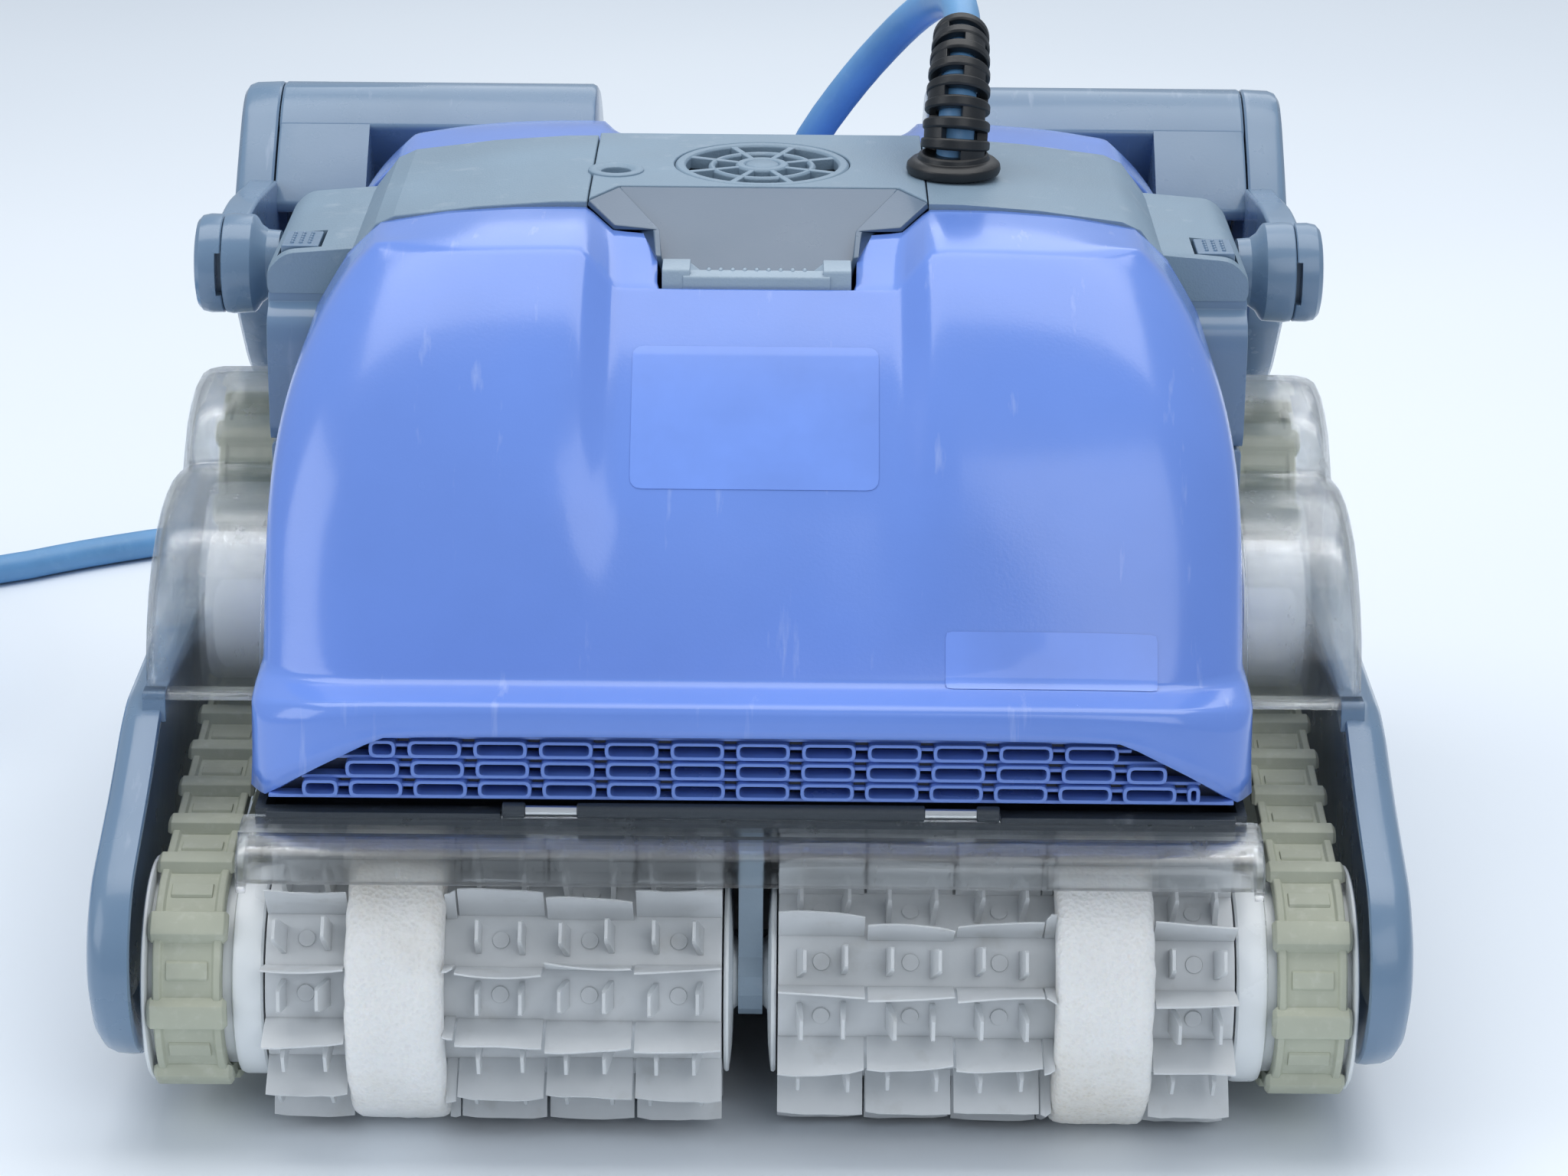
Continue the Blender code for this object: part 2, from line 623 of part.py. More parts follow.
def brush_half(end, side, mats):
    """One driven brush: wheel, bladed drum, foam ring and inner end disc."""
    centre = (end * AXLE_Y, AXLE_Z)
    origin = (0.0, *centre)
    word = f"{'front' if end < 0 else 'rear'}_{side_name(side)}"

    def along(profile):
        return [(side * x, r) for x, r in profile]

    blades = blade_outline(centre)
    under = smooth_outline(centre, DRUM_R - 0.0005)
    bore = smooth_outline(centre, DRUM_R - DRUM_WALL)
    foam_out = FOAM_IN_X + FOAM_WIDTH
    stack = [(BRUSH_IN_X, blades), (FOAM_IN_X - GAP, blades), (FOAM_IN_X - GAP, under),
             (foam_out + GAP, under), (foam_out + GAP, blades), (BRUSH_OUT_X, blades),
             (BRUSH_OUT_X, bore), (BRUSH_IN_X, bore)]
    bm = bmesh.new()
    rings(bm, [[(side * x, y, z) for y, z in line] for x, line in stack], cyclic=True)
    finish_mesh("brush_" + word, bm, mats["pvc"], origin)

    bm = bmesh.new()
    ring_in = DRUM_R
    foam = [(FOAM_IN_X, ring_in), (FOAM_IN_X, FOAM_R), (foam_out, FOAM_R), (foam_out, ring_in)]
    turned(bm, along(foam), "X", centre, ROUND, cyclic=True)
    finish_mesh("foam_ring_" + word, bm, mats["foam"], origin)

    bm = bmesh.new()
    disc = [(0.0006, STUB_R), (DISC_IN_X - 0.0002, STUB_R), (DISC_IN_X, DISC_R),
            (BRUSH_IN_X - GAP, DISC_R)]
    turned(bm, along(disc), "X", centre, ROUND)
    finish_mesh("end_disc_" + word, bm, mats["white"], origin)

    bm = bmesh.new()
    rim = BELT_R - 0.0008
    track_out = TRACK_IN_X + TRACK_WIDTH
    flange = track_out + GAP
    wheel = [(BRUSH_OUT_X + GAP, HUB_R), (HUB_OUT_X, HUB_R), (HUB_OUT_X + 0.0002, rim),
             (flange - 0.0002, rim), (flange, FLANGE_R), (flange + FLANGE_THICK, FLANGE_R),
             (flange + FLANGE_THICK + 0.0002, rim - 0.003), (flange - 0.010, rim - 0.005),
             (flange - 0.0098, 0.008), (flange - 0.002, 0.006)]
    turned(bm, along(wheel), "X", centre, ROUND)
    finish_mesh("wheel_" + word, bm, mats["white"], origin)


# ---------------------------------------------------------------- tracks
def belt_wheels():
    """Wheels that the belt's inner face wraps, rear to front along the floor, as
    (y, z, radius). The idler presses from outside, so its radius is negative."""
    press = -(ROLLER_R + BELT_THICK + LUG_HEIGHT + RUN)
    return [(AXLE_Y, AXLE_Z, BELT_R), (PULLEY_Y, PULLEY_Z, BELT_R),
            (ROLLER_Y, ROLLER_Z, press), (-AXLE_Y, AXLE_Z, BELT_R)]


def belt_path():
    """The belt's inner face as pieces: (kind, start, end, centre, radius), anticlockwise."""
    wheels = belt_wheels()
    headings = []
    for here, there in zip(wheels, wheels[1:] + wheels[:1]):
        d = Vector((there[0] - here[0], there[1] - here[1]))
        bend = math.asin((there[2] - here[2]) / d.length)
        headings.append(math.atan2(d.y, d.x) - bend)
    pieces = []
    count = len(wheels)
    for i, (y, z, radius) in enumerate(wheels):
        into, out = headings[i - 1], headings[i]
        turn = (out - into + math.pi) % (2 * math.pi) - math.pi
        if radius > 0 and turn < 0:
            turn += 2 * math.pi
        pieces.append(("arc", y, z, radius, into, turn))
        after = wheels[(i + 1) % count]
        normal = Vector((-math.sin(out), math.cos(out)))
        start = Vector((y, z)) - normal * radius
        end = Vector((after[0], after[1])) - normal * after[2]
        pieces.append(("line", start, end, out))
    return pieces


def belt_length():
    return sum(abs(p[3] * p[5]) if p[0] == "arc" else (p[2] - p[1]).length for p in belt_path())


def belt_point(distance, outwards):
    """A point at a distance along the belt, moved out from its inner face."""
    pieces = belt_path()
    distance %= belt_length()
    for piece in pieces:
        size = abs(piece[3] * piece[5]) if piece[0] == "arc" else (piece[2] - piece[1]).length
        if distance <= size:
            break
        distance -= size
    if piece[0] == "line":
        heading = piece[3]
        spot = piece[1].lerp(piece[2], distance / size)
    else:
        _, y, z, radius, into, turn = piece
        heading = into + turn * distance / size
        spot = Vector((y, z)) - Vector((-math.sin(heading), math.cos(heading))) * radius
    normal = Vector((-math.sin(heading), math.cos(heading)))
    return tuple(spot - normal * outwards)


def track(side, mats):
    """Rubber belt with a lug at every pitch, as one closed band."""
    count = round(belt_length() / LUG_PITCH)
    pitch = belt_length() / count
    lug = BELT_THICK + LUG_HEIGHT
    outer, inner = [], []
    for k in range(count):
        start = k * pitch
        gap_third = (pitch - LUG_LENGTH) / 3
        outer += [belt_point(start, BELT_THICK), belt_point(start + 0.0008, lug),
                  belt_point(start + LUG_LENGTH - 0.0008, lug),
                  belt_point(start + LUG_LENGTH, BELT_THICK),
                  belt_point(start + LUG_LENGTH + gap_third, BELT_THICK),
                  belt_point(start + LUG_LENGTH + 2 * gap_third, BELT_THICK)]
        inner += [belt_point(start, 0.0), belt_point(start + LUG_LENGTH * 0.33, 0.0),
                  belt_point(start + LUG_LENGTH * 0.67, 0.0), belt_point(start + LUG_LENGTH, 0.0),
                  belt_point(start + LUG_LENGTH + gap_third, 0.0),
                  belt_point(start + LUG_LENGTH + 2 * gap_third, 0.0)]
    low, high = span(side, TRACK_IN_X, TRACK_IN_X + TRACK_WIDTH)
    bm = bmesh.new()
    rings(bm, [[(x, y, z) for y, z in line] for x, line in
               ((low, outer), (high, outer), (high, inner), (low, inner))], cyclic=True)
    finish_mesh("track_" + side_name(side), bm, mats["track"])


def track_rollers(side, mats):
    """White idler in front, drive pulley behind it, both on stubs out of the skirt."""
    face = TRACK_IN_X + GAP
    stub = SKIRT_X + RUN
    for word, centre, radius in (("idler_roller", (ROLLER_Y, ROLLER_Z), ROLLER_R),
                                 ("drive_pulley", (PULLEY_Y, PULLEY_Z), BELT_R - 0.0008)):
        profile = [(stub, 0.008), (face - 0.0002, 0.008), (face, radius),
                   (face + ROLLER_WIDTH, radius), (face + ROLLER_WIDTH + 0.0002, radius - 0.004),
                   (face + ROLLER_WIDTH - 0.003, radius - 0.006)]
        bm = bmesh.new()
        turned(bm, [(side * x, r) for x, r in profile], "X", centre)
        finish_mesh(f"{word}_{side_name(side)}", bm, mats["white"], (0.0, *centre))


# ---------------------------------------------------------------- side panels, covers, guards
PANEL_HALF = [(0.110, 0.127), (0.122, 0.1235), (AXLE_Y - 0.015, 0.110), (AXLE_Y + 0.031, 0.092),
              (AXLE_Y + 0.044, 0.077), (AXLE_Y + 0.0475, 0.060), (AXLE_Y + 0.040, 0.041),
              (AXLE_Y + 0.023, 0.028), (AXLE_Y + 0.007, 0.026)]


def side_panel(side, mats):
    """Pan-shaped side cover with its rim towards the tracks."""
    outline = [(-y, z) for y, z in PANEL_HALF] + [(y, z) for y, z in reversed(PANEL_HALF)]
    rounded = inset(outline, 0.004)
    bm = bmesh.new()
    loops = [[(side * x, y, z) for y, z in line] for x, line in
             ((PANEL_IN_X, outline), (PANEL_OUT_X - 0.005, outline), (PANEL_OUT_X, rounded))]
    rings(bm, loops)
    panel = finish_mesh("side_panel_" + side_name(side), bm, mats["slate"])
    bay = inset(outline, 0.007)
    subtract(panel, "bay", lambda b: prism(
        b, bay, "X", *span(side, PANEL_IN_X - 0.01, PANEL_OUT_X - PANEL_WALL)))


COVER_CURVE = [(-0.116, 0.128), (-0.113, 0.142), (-0.104, 0.158), (-0.088, 0.172), (-0.066, 0.1805),
               (-0.038, 0.181), (-0.012, 0.177), (0.000, 0.186), (0.018, 0.196), (0.040, 0.1965),
               (0.062, 0.185), (0.092, 0.163), (0.124, 0.146)]


def track_cover(side, mats):
    """Clear cover over the idler and the drive pulley, open underneath and at the rear."""
    foot = PANEL_HALF[0][1] + 0.001
    outline = COVER_CURVE + [(COVER_CURVE[-1][0], foot)]
    outline = list(reversed(outline))
    bm = bmesh.new()
    inner_x = SKIRT_X + 0.0004
    rounded = inset(outline, 0.004)
    rounded = [(y, max(z, foot)) for y, z in rounded]
    loops = [[(side * x, y, z) for y, z in line] for x, line in
             ((inner_x, outline), (COVER_OUT_X - 0.004, outline), (COVER_OUT_X, rounded))]
    rings(bm, loops)
    cover = finish_mesh("track_cover_" + side_name(side), bm, mats["clear"])
    bay = inset(outline, COVER_WALL)
    bay = [(y, z) for y, z in bay if z > foot + 2 * COVER_WALL]
    rear, front = bay[0], bay[-1]
    bay = [(front[0], foot - 0.01), (rear[0] + 0.02, foot - 0.01), (rear[0] + 0.02, rear[1])] + bay
    subtract(cover, "bay", lambda b: prism(
        b, bay, "X", *span(side, inner_x - 0.01, COVER_OUT_X - COVER_WALL)))


def brush_guard(end, mats):
    """Clear visor over a brush, hung from the hull's rim."""
    rim = HULL_RIM_Y
    outline = [(-rim - GAP, 0.1100), (-rim - GAP, 0.1160), (-rim - 0.0055, 0.1160),
               (-rim - 0.0240, 0.1115), (-rim - 0.0260, 0.1050), (-rim - 0.0235, 0.1030),
               (-rim - 0.0210, 0.1085), (-rim - 0.0055, 0.1130), (-rim - 0.0035, 0.1100)]
    bm = bmesh.new()
    prism(bm, flip(end, outline), "X", -GUARD_X, GUARD_X)
    finish_mesh("front_guard" if end < 0 else "rear_guard", bm, mats["clear"])


# ---------------------------------------------------------------- pump
def impeller(mats):
    centre = OUTLET
    bm = bmesh.new()
    profile = [(0.1756, 0.004), (0.2600, 0.004), (0.2602, 0.025), (0.2630, 0.025),
               (0.2632, 0.007), (0.2720, 0.006)]
    turned(bm, profile, "Z", centre, 20)
    wheel = finish_mesh("impeller", bm, mats["light"], (*centre, 0.2600))

    for k, (long, wide) in enumerate(((0.022, 0.0012), (0.0012, 0.022))):
        helper = bmesh.new()
        box(helper, (centre[0] - long, centre[1] - wide, 0.2615),
            (centre[0] + long, centre[1] + wide, 0.2700))
        tool = finish_mesh(f"impeller.blade{k}", helper, mats["light"])
        tool.hide_render = True
        tool.display_type = "WIRE"
        join = wheel.modifiers.new(f"blade{k}", "BOOLEAN")
        join.object = tool
        join.operation = "UNION"
        join.solver = "EXACT"


# ---------------------------------------------------------------- cable
def relief_frame(distance):
    """Centre and direction of the strain relief at a distance along it."""
    radius = RELIEF_LENGTH / RELIEF_BEND
    angle = distance / radius
    base = Vector((RELIEF_XY[0], RELIEF_XY[1], BAND_TOP_Z + 0.0015))
    lean = RELIEF_LEAN / RELIEF_LENGTH
    spot = base + Vector((lean * distance, radius * (1 - math.cos(angle)), radius * math.sin(angle)))
    return spot, Vector((lean, math.sin(angle), math.cos(angle))).normalized()


def strain_relief(mats):
    """Curved tapered sleeve on a round flange."""
    flange = RELIEF_FLANGE_H
    stations = [(0.0, RELIEF_FLANGE_R), (flange, RELIEF_FLANGE_R), (flange + 0.0005, RELIEF_BASE_R)]
    steps = 6
    for k in range(1, steps + 1):
        share = k / steps
        stations.append((flange + (RELIEF_LENGTH - flange) * share,
                         RELIEF_BASE_R + (RELIEF_TIP_R - RELIEF_BASE_R) * share))
    loops = []
    for distance, radius in stations:
        centre, ahead = relief_frame(distance)
        up = ahead.cross(Vector((1, 0, 0))).normalized()
        across = up.cross(ahead)
        loops.append([centre + across * a + up * b for a, b in circle(radius, 16)])
    bm = bmesh.new()
    rings(bm, loops)
    finish_mesh("strain_relief", bm, mats["rubber"])


CABLE_ROUTE = [                  # from the strain relief to the coil, chosen by hand
    (0.0709, 0.0518, 0.3315), (0.0680, 0.0703, 0.3296), (0.0614, 0.0921, 0.3221),
    (0.0510, 0.1109, 0.3083), (0.0355, 0.1269, 0.2865), (0.0197, 0.1365, 0.2615),
    (0.0113, 0.1470, 0.2392), (0.0052, 0.1629, 0.2172), (0.0016, 0.1843, 0.1953),
    (-0.0035, 0.2009, 0.1733),
    (-0.0100, 0.2145, 0.1460), (-0.0150, 0.2225, 0.1200), (-0.0205, 0.2310, 0.0940),
    (-0.0270, 0.2420, 0.0660), (-0.0370, 0.2570, 0.0390), (-0.0530, 0.2770, 0.0180),
    (-0.0780, 0.3020, 0.0080), (-0.1080, 0.3330, 0.0067), (-0.1420, 0.3640, 0.0067),
    (-0.1830, 0.3870, 0.0067), (-0.2270, 0.3965, 0.0067), (-0.2690, 0.3870, 0.0067),
    (-0.3100, 0.3660, 0.0067), (-0.3450, 0.3440, 0.0067), (-0.3850, 0.3340, 0.0067),
]


def cable_points():
    """The cable's free stretch: out of the relief, over the rear cover, along the floor and
    up to the coil's side, as a smooth curve through the route."""
    start, ahead = relief_frame(RELIEF_LENGTH)
    start = start + ahead * GAP
    reach = coil_outer() + CABLE_R + GAP
    touch = math.radians(80)
    end = Vector((COIL_CENTRE[0] + reach * math.cos(touch),
                  COIL_CENTRE[1] + reach * math.sin(touch), CABLE_R + 0.0002))
    knots = [start, start + ahead * 0.012] + [Vector(p) for p in CABLE_ROUTE] + [end]
    points = []
    per_span = 2
    for i in range(len(knots) - 1):
        a, b = knots[i], knots[i + 1]
        before = knots[i - 1] if i else a - ahead * 0.010
        beyond = knots[i + 2] if i + 2 < len(knots) else b + Vector((-0.03, -0.003, 0.0))
        for k in range(per_span if i else 1):
            t = k / (per_span if i else 1)
            points.append(curve_point(before, a, b, beyond, t))
    points.append(end)
    return points


def curve_point(before, a, b, beyond, t):
    """Catmull-Rom curve between a and b."""
    return 0.5 * (2 * a + (b - before) * t + (2 * before - 5 * a + 4 * b - beyond) * t ** 2
                  + (3 * a - before - 3 * b + beyond) * t ** 3)


def coil_outer():
    return COIL_MID_R + COIL_TURNS_WIDE * CABLE_R


def cable_and_coil(mats):
    curve = bpy.data.curves.new("power_cord", "CURVE")
    curve.dimensions = "3D"
    curve.bevel_depth = CABLE_R
    curve.bevel_resolution = 2
    curve.use_fill_caps = True
    spline = curve.splines.new("POLY")
    points = cable_points()
    spline.points.add(len(points) - 1)
    for spot, point in zip(spline.points, points):
        spot.co = (*point, 1.0)
    cord = bpy.data.objects.new("power_cord", curve)
    cord.data.materials.append(mats["cable"])
    bpy.context.collection.objects.link(cord)

    inner = COIL_MID_R - COIL_TURNS_WIDE * CABLE_R
    height = COIL_TURNS_HIGH * 2 * CABLE_R
    profile = [(0.0, inner), (0.0, coil_outer()), (height, coil_outer()), (height, inner)]
    bm = bmesh.new()
    turned(bm, profile, "Z", COIL_CENTRE, 40, cyclic=True)
    finish_mesh("cord_coil", bm, mats["cable"])

    start = COIL_CENTRE[0] - PLUG_LENGTH / 2
    profile = [(start - 0.025, CABLE_R + 0.002), (start, CABLE_R + 0.004), (start + 0.004, PLUG_R),
               (start + PLUG_LENGTH, PLUG_R), (start + PLUG_LENGTH + 0.003, PLUG_R - 0.003)]
    bm = bmesh.new()
    lying = (COIL_CENTRE[1] - COIL_MID_R, height + PLUG_R + GAP)
    turned(bm, profile, "X", lying, 20)
    finish_mesh("power_plug", bm, mats["rubber"])


# ---------------------------------------------------------------- the whole machine
def build():
    clear_scene()
    mats = make_materials()
    base_hull(mats)
    motor_unit(mats)
    for end in (-1, 1):
        filter_cartridge(end, mats)
        centre_bracket(end, mats)
        brush_guard(end, mats)
        lid_grille(end, mats)
        for side in (LEFT, RIGHT):
            brush_half(end, side, mats)
    lid_shell("front_lid", -1, mats, with_notch=True)
    lid_shell("rear_cover", 1, mats, with_notch=False)
    lid_hinge_rod(mats)
    lid_latch(mats)
    outlet_cover(mats)
    impeller(mats)
    for side in (LEFT, RIGHT):
        band_half(side, mats)
        release_button(side, mats)
        handle_side(side, mats)
        track(side, mats)
        track_rollers(side, mats)
        side_panel(side, mats)
        track_cover(side, mats)
    grip_bar(mats)
    strain_relief(mats)
    cable_and_coil(mats)


build()
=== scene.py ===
"""Looks of the robotic pool cleaner: shells, brushes, tracks, clear covers and cable, built
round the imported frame. Metres, front at -Y, +X to the right as seen from the front."""
import json
import math

import bmesh
import bpy
from mathutils import Matrix, Vector, noise


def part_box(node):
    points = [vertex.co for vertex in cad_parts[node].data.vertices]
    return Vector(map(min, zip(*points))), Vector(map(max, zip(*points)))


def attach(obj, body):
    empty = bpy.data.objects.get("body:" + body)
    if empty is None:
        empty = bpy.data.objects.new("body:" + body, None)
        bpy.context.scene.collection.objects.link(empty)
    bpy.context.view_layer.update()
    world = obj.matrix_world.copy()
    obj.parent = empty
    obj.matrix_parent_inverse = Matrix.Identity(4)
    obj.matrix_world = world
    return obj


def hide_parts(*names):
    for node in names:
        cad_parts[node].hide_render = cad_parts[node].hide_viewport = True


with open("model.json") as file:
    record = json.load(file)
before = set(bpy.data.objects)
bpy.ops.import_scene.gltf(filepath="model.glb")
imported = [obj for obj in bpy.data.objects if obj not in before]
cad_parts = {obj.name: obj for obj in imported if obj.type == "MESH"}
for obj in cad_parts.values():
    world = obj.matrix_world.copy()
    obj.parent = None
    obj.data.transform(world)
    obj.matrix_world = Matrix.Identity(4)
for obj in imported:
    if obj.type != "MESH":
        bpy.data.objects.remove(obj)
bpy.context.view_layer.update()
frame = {"nodes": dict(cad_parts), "record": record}

LEFT, RIGHT = -1, 1
FRONT, REAR = -1, 1
WORD = {LEFT: "left", RIGHT: "right"}
END_WORD = {FRONT: "front", REAR: "rear"}


# ---------------------------------------------------------------- camera
CAMERA_SPOT = (0.010, -1.417, 0.642)
CAMERA_TILT = math.radians(70.0)
CAMERA_ROLL = math.radians(0.5)
CAMERA_LENS = 94.9


def make_camera():
    data = bpy.data.cameras.new("camera")
    data.lens = CAMERA_LENS
    data.sensor_width = 36.0
    data.clip_end = 30.0
    camera = bpy.data.objects.new("camera", data)
    turn = Matrix.Rotation(CAMERA_TILT, 4, "X") @ Matrix.Rotation(CAMERA_ROLL, 4, "Z")
    camera.matrix_world = Matrix.Translation(CAMERA_SPOT) @ turn
    bpy.context.collection.objects.link(camera)
    bpy.context.scene.camera = camera


make_camera()


# ---------------------------------------------------------------- materials
class Nodes:
    """A short way to write a material's node tree."""

    def __init__(self, name, colour, roughness, **sockets):
        self.mat = bpy.data.materials.new(name)
        self.mat.use_nodes = True
        self.tree = self.mat.node_tree
        self.shader = self.tree.nodes["Principled BSDF"]
        self.shader.inputs["Base Color"].default_value = (*colour, 1.0)
        self.shader.inputs["Roughness"].default_value = roughness
        for key, value in sockets.items():
            self.shader.inputs[key.replace("_", " ")].default_value = value
        self.space = self.add("ShaderNodeTexCoord").outputs["Object"]

    def add(self, kind, **values):
        node = self.tree.nodes.new(kind)
        for key, value in values.items():
            if hasattr(node, key):
                setattr(node, key, value)
            else:
                node.inputs[key.replace("_", " ")].default_value = value
        return node

    def link(self, source, target):
        self.tree.links.new(source, target)

    def noise(self, scale, detail=4.0, stretch=(1, 1, 1), rough=0.55):
        place = self.add("ShaderNodeMapping")
        place.inputs["Scale"].default_value = stretch
        self.link(self.space, place.inputs["Vector"])
        node = self.add("ShaderNodeTexNoise", Scale=scale, Detail=detail, Roughness=rough)
        self.link(place.outputs["Vector"], node.inputs["Vector"])
        return node.outputs["Fac"]

    def voronoi(self, scale, feature="F1"):
        node = self.add("ShaderNodeTexVoronoi", Scale=scale, feature=feature)
        self.link(self.space, node.inputs["Vector"])
        return node.outputs["Distance"]

    def ramp(self, source, low, high, start=0.0, end=1.0):
        """Map source from low..high to start..end, clamped."""
        node = self.add("ShaderNodeMapRange", From_Min=low, From_Max=high, To_Min=start, To_Max=end)
        self.link(source, node.inputs["Value"])
        return node.outputs["Result"]

    def mix(self, factor, first, second):
        """Mix two colours, or a colour and an output, by a factor output."""
        node = self.add("ShaderNodeMix", data_type="RGBA")
        self.link(factor, node.inputs[0])
        for value, socket in ((first, node.inputs[6]), (second, node.inputs[7])):
            if isinstance(value, tuple):
                socket.default_value = (*value, 1.0)
            else:
                self.link(value, socket)
        return node.outputs[2]

    def colour(self, source):
        self.link(source, self.shader.inputs["Base Color"])

    def rough(self, source):
        self.link(source, self.shader.inputs["Roughness"])

    def bump(self, *layers):
        """Each layer is (height output, distance in metres, strength)."""
        last = None
        for height, distance, strength in layers:
            node = self.add("ShaderNodeBump", Distance=distance, Strength=strength)
            self.link(height, node.inputs["Height"])
            if last:
                self.link(last, node.inputs["Normal"])
            last = node.outputs["Normal"]
        self.link(last, self.shader.inputs["Normal"])
        return self.mat


def scaled(colour, by):
    return tuple(min(1.0, c * by) for c in colour)


def gloss_plastic(name, colour, roughness=0.2, wear=0.5, scuff=(0.75, 0.80, 0.95)):
    """Moulded gloss plastic with a faint mottle, hairline scratches and soft scuffs."""
    n = Nodes(name, colour, roughness, Coat_Weight=0.35, Coat_Roughness=0.12)
    cloud = n.noise(9.0, 5.0)
    body = n.mix(n.ramp(cloud, 0.3, 0.7), scaled(colour, 0.93), scaled(colour, 1.06))
    hair = n.noise(130.0, 6.0, stretch=(1.0, 0.25, 0.08))
    worn = n.ramp(hair, 0.64, 0.74, 0.0, 0.30 * wear)
    n.colour(n.mix(worn, body, scuff))
    n.rough(n.ramp(n.noise(22.0, 6.0), 0.3, 0.75, roughness * 0.75, roughness * 1.7))
    grain = n.noise(900.0, 2.0)
    return n.bump((grain, 0.00012, 0.25), (hair, 0.0002, 0.12), (n.noise(14.0, 2.0), 0.002, 0.05))


def matte_plastic(name, colour, roughness=0.5, grain=1300.0):
    """Spark-eroded grey plastic: fine even grain and slightly uneven shade."""
    n = Nodes(name, colour, roughness)
    cloud = n.noise(16.0, 5.0)
    body = n.mix(n.ramp(cloud, 0.3, 0.7), scaled(colour, 0.92), scaled(colour, 1.08))
    dust = n.ramp(n.noise(85.0, 8.0), 0.60, 0.78, 0.0, 0.22)
    n.colour(n.mix(dust, body, (0.55, 0.60, 0.66)))
    n.rough(n.ramp(cloud, 0.3, 0.7, roughness * 0.85, roughness * 1.2))
    return n.bump((n.voronoi(grain), 0.00018, 0.35), (n.noise(380.0, 3.0), 0.0001, 0.3))


def clear_plastic():
    """Clear polycarbonate gone hazy: fine scuffs and streaks scatter the light."""
    n = Nodes("clear_polycarbonate", (0.93, 0.955, 0.965), 0.1, Transmission_Weight=1.0, IOR=1.42,
              Alpha=0.55)
    streak = n.noise(70.0, 9.0, stretch=(1.0, 1.0, 0.35), rough=0.7)
    n.rough(n.ramp(streak, 0.42, 0.72, 0.03, 0.38))
    haze = n.ramp(n.noise(34.0, 8.0, rough=0.7), 0.5, 0.75)
    n.colour(n.mix(haze, (0.94, 0.965, 0.975), (0.83, 0.86, 0.875)))
    return n.bump((streak, 0.0003, 0.12), (n.noise(600.0, 3.0), 0.0001, 0.15))


def rubber(name, colour, dusty, roughness=0.68, specks=240.0):
    n = Nodes(name, colour, roughness)
    cloud = n.noise(30.0, 6.0)
    body = n.mix(n.ramp(cloud, 0.3, 0.72), scaled(colour, 0.88), scaled(colour, 1.1))
    n.colour(n.mix(n.ramp(n.noise(specks, 5.0), 0.55, 0.8, 0.0, 0.4), body, dusty))
    n.rough(n.ramp(cloud, 0.3, 0.7, roughness * 0.85, min(1.0, roughness * 1.15)))
    return n.bump((n.noise(1100.0, 3.0), 0.00015, 0.35), (n.noise(90.0, 4.0), 0.0004, 0.15))


def soft_pvc():
    """Satin grey PVC that lets a little light through its thin blades."""
    n = Nodes("brush_pvc", (0.44, 0.46, 0.48), 0.42, Subsurface_Weight=0.25)
    n.shader.inputs["Subsurface Radius"].default_value = (0.004, 0.004, 0.004)
    n.shader.inputs["Subsurface Scale"].default_value = 1.0
    cloud = n.noise(26.0, 6.0)
    body = n.mix(n.ramp(cloud, 0.32, 0.7), (0.60, 0.62, 0.635), (0.70, 0.72, 0.735))
    n.colour(n.mix(n.ramp(n.noise(75.0, 8.0), 0.58, 0.8, 0.0, 0.35), body, (0.36, 0.34, 0.29)))
    n.rough(n.ramp(cloud, 0.3, 0.7, 0.34, 0.55))
    return n.bump((n.noise(800.0, 3.0), 0.0001, 0.3), (n.noise(60.0, 3.0), 0.0006, 0.12))


def sponge():
    """Open-cell foam: off-white, matted, with a beige stain."""
    n = Nodes("ring_foam", (0.80, 0.79, 0.76), 0.95, Sheen_Weight=0.4, Sheen_Roughness=0.6,
              Subsurface_Weight=0.3)
    n.shader.inputs["Subsurface Radius"].default_value = (0.006, 0.005, 0.004)
    n.shader.inputs["Subsurface Scale"].default_value = 1.0
    cells = n.voronoi(620.0)
    stain = n.ramp(n.noise(13.0, 5.0), 0.44, 0.66)
    body = n.mix(stain, (0.83, 0.83, 0.82), (0.64, 0.59, 0.50))
    # Pore centres darker and cell rims lighter, following the bump: painted shade in the pores.
    pore_shade = n.ramp(cells, 0.0, 0.5, 0.0, 0.35)
    n.colour(n.mix(pore_shade, body, (0.93, 0.93, 0.92)))
    return n.bump((cells, 0.0007, 0.7), (n.noise(260.0, 5.0), 0.0010, 0.5),
                  (n.noise(60.0, 4.0), 0.0015, 0.35))


def white_plastic():
    n = Nodes("wheel_white", (0.82, 0.85, 0.87), 0.3, Subsurface_Weight=0.2)
    n.shader.inputs["Subsurface Radius"].default_value = (0.006, 0.006, 0.007)
    n.shader.inputs["Subsurface Scale"].default_value = 1.0
    cloud = n.noise(24.0, 6.0)
    n.colour(n.mix(n.ramp(cloud, 0.35, 0.75), (0.84, 0.87, 0.89), (0.74, 0.77, 0.78)))
    n.rough(n.ramp(cloud, 0.3, 0.7, 0.22, 0.42))
    return n.bump((n.noise(700.0, 3.0), 0.0001, 0.25), (n.noise(50.0, 2.0), 0.0006, 0.08))


def steel():
    n = Nodes("hinge_steel", (0.72, 0.73, 0.74), 0.25, Metallic=1.0)
    line = n.noise(300.0, 4.0, stretch=(0.05, 1.0, 1.0))
    n.colour(n.mix(n.ramp(line, 0.3, 0.7), (0.62, 0.63, 0.64), (0.80, 0.81, 0.82)))
    n.rough(n.ramp(line, 0.3, 0.7, 0.18, 0.4))
    return n.bump((line, 0.0001, 0.3))


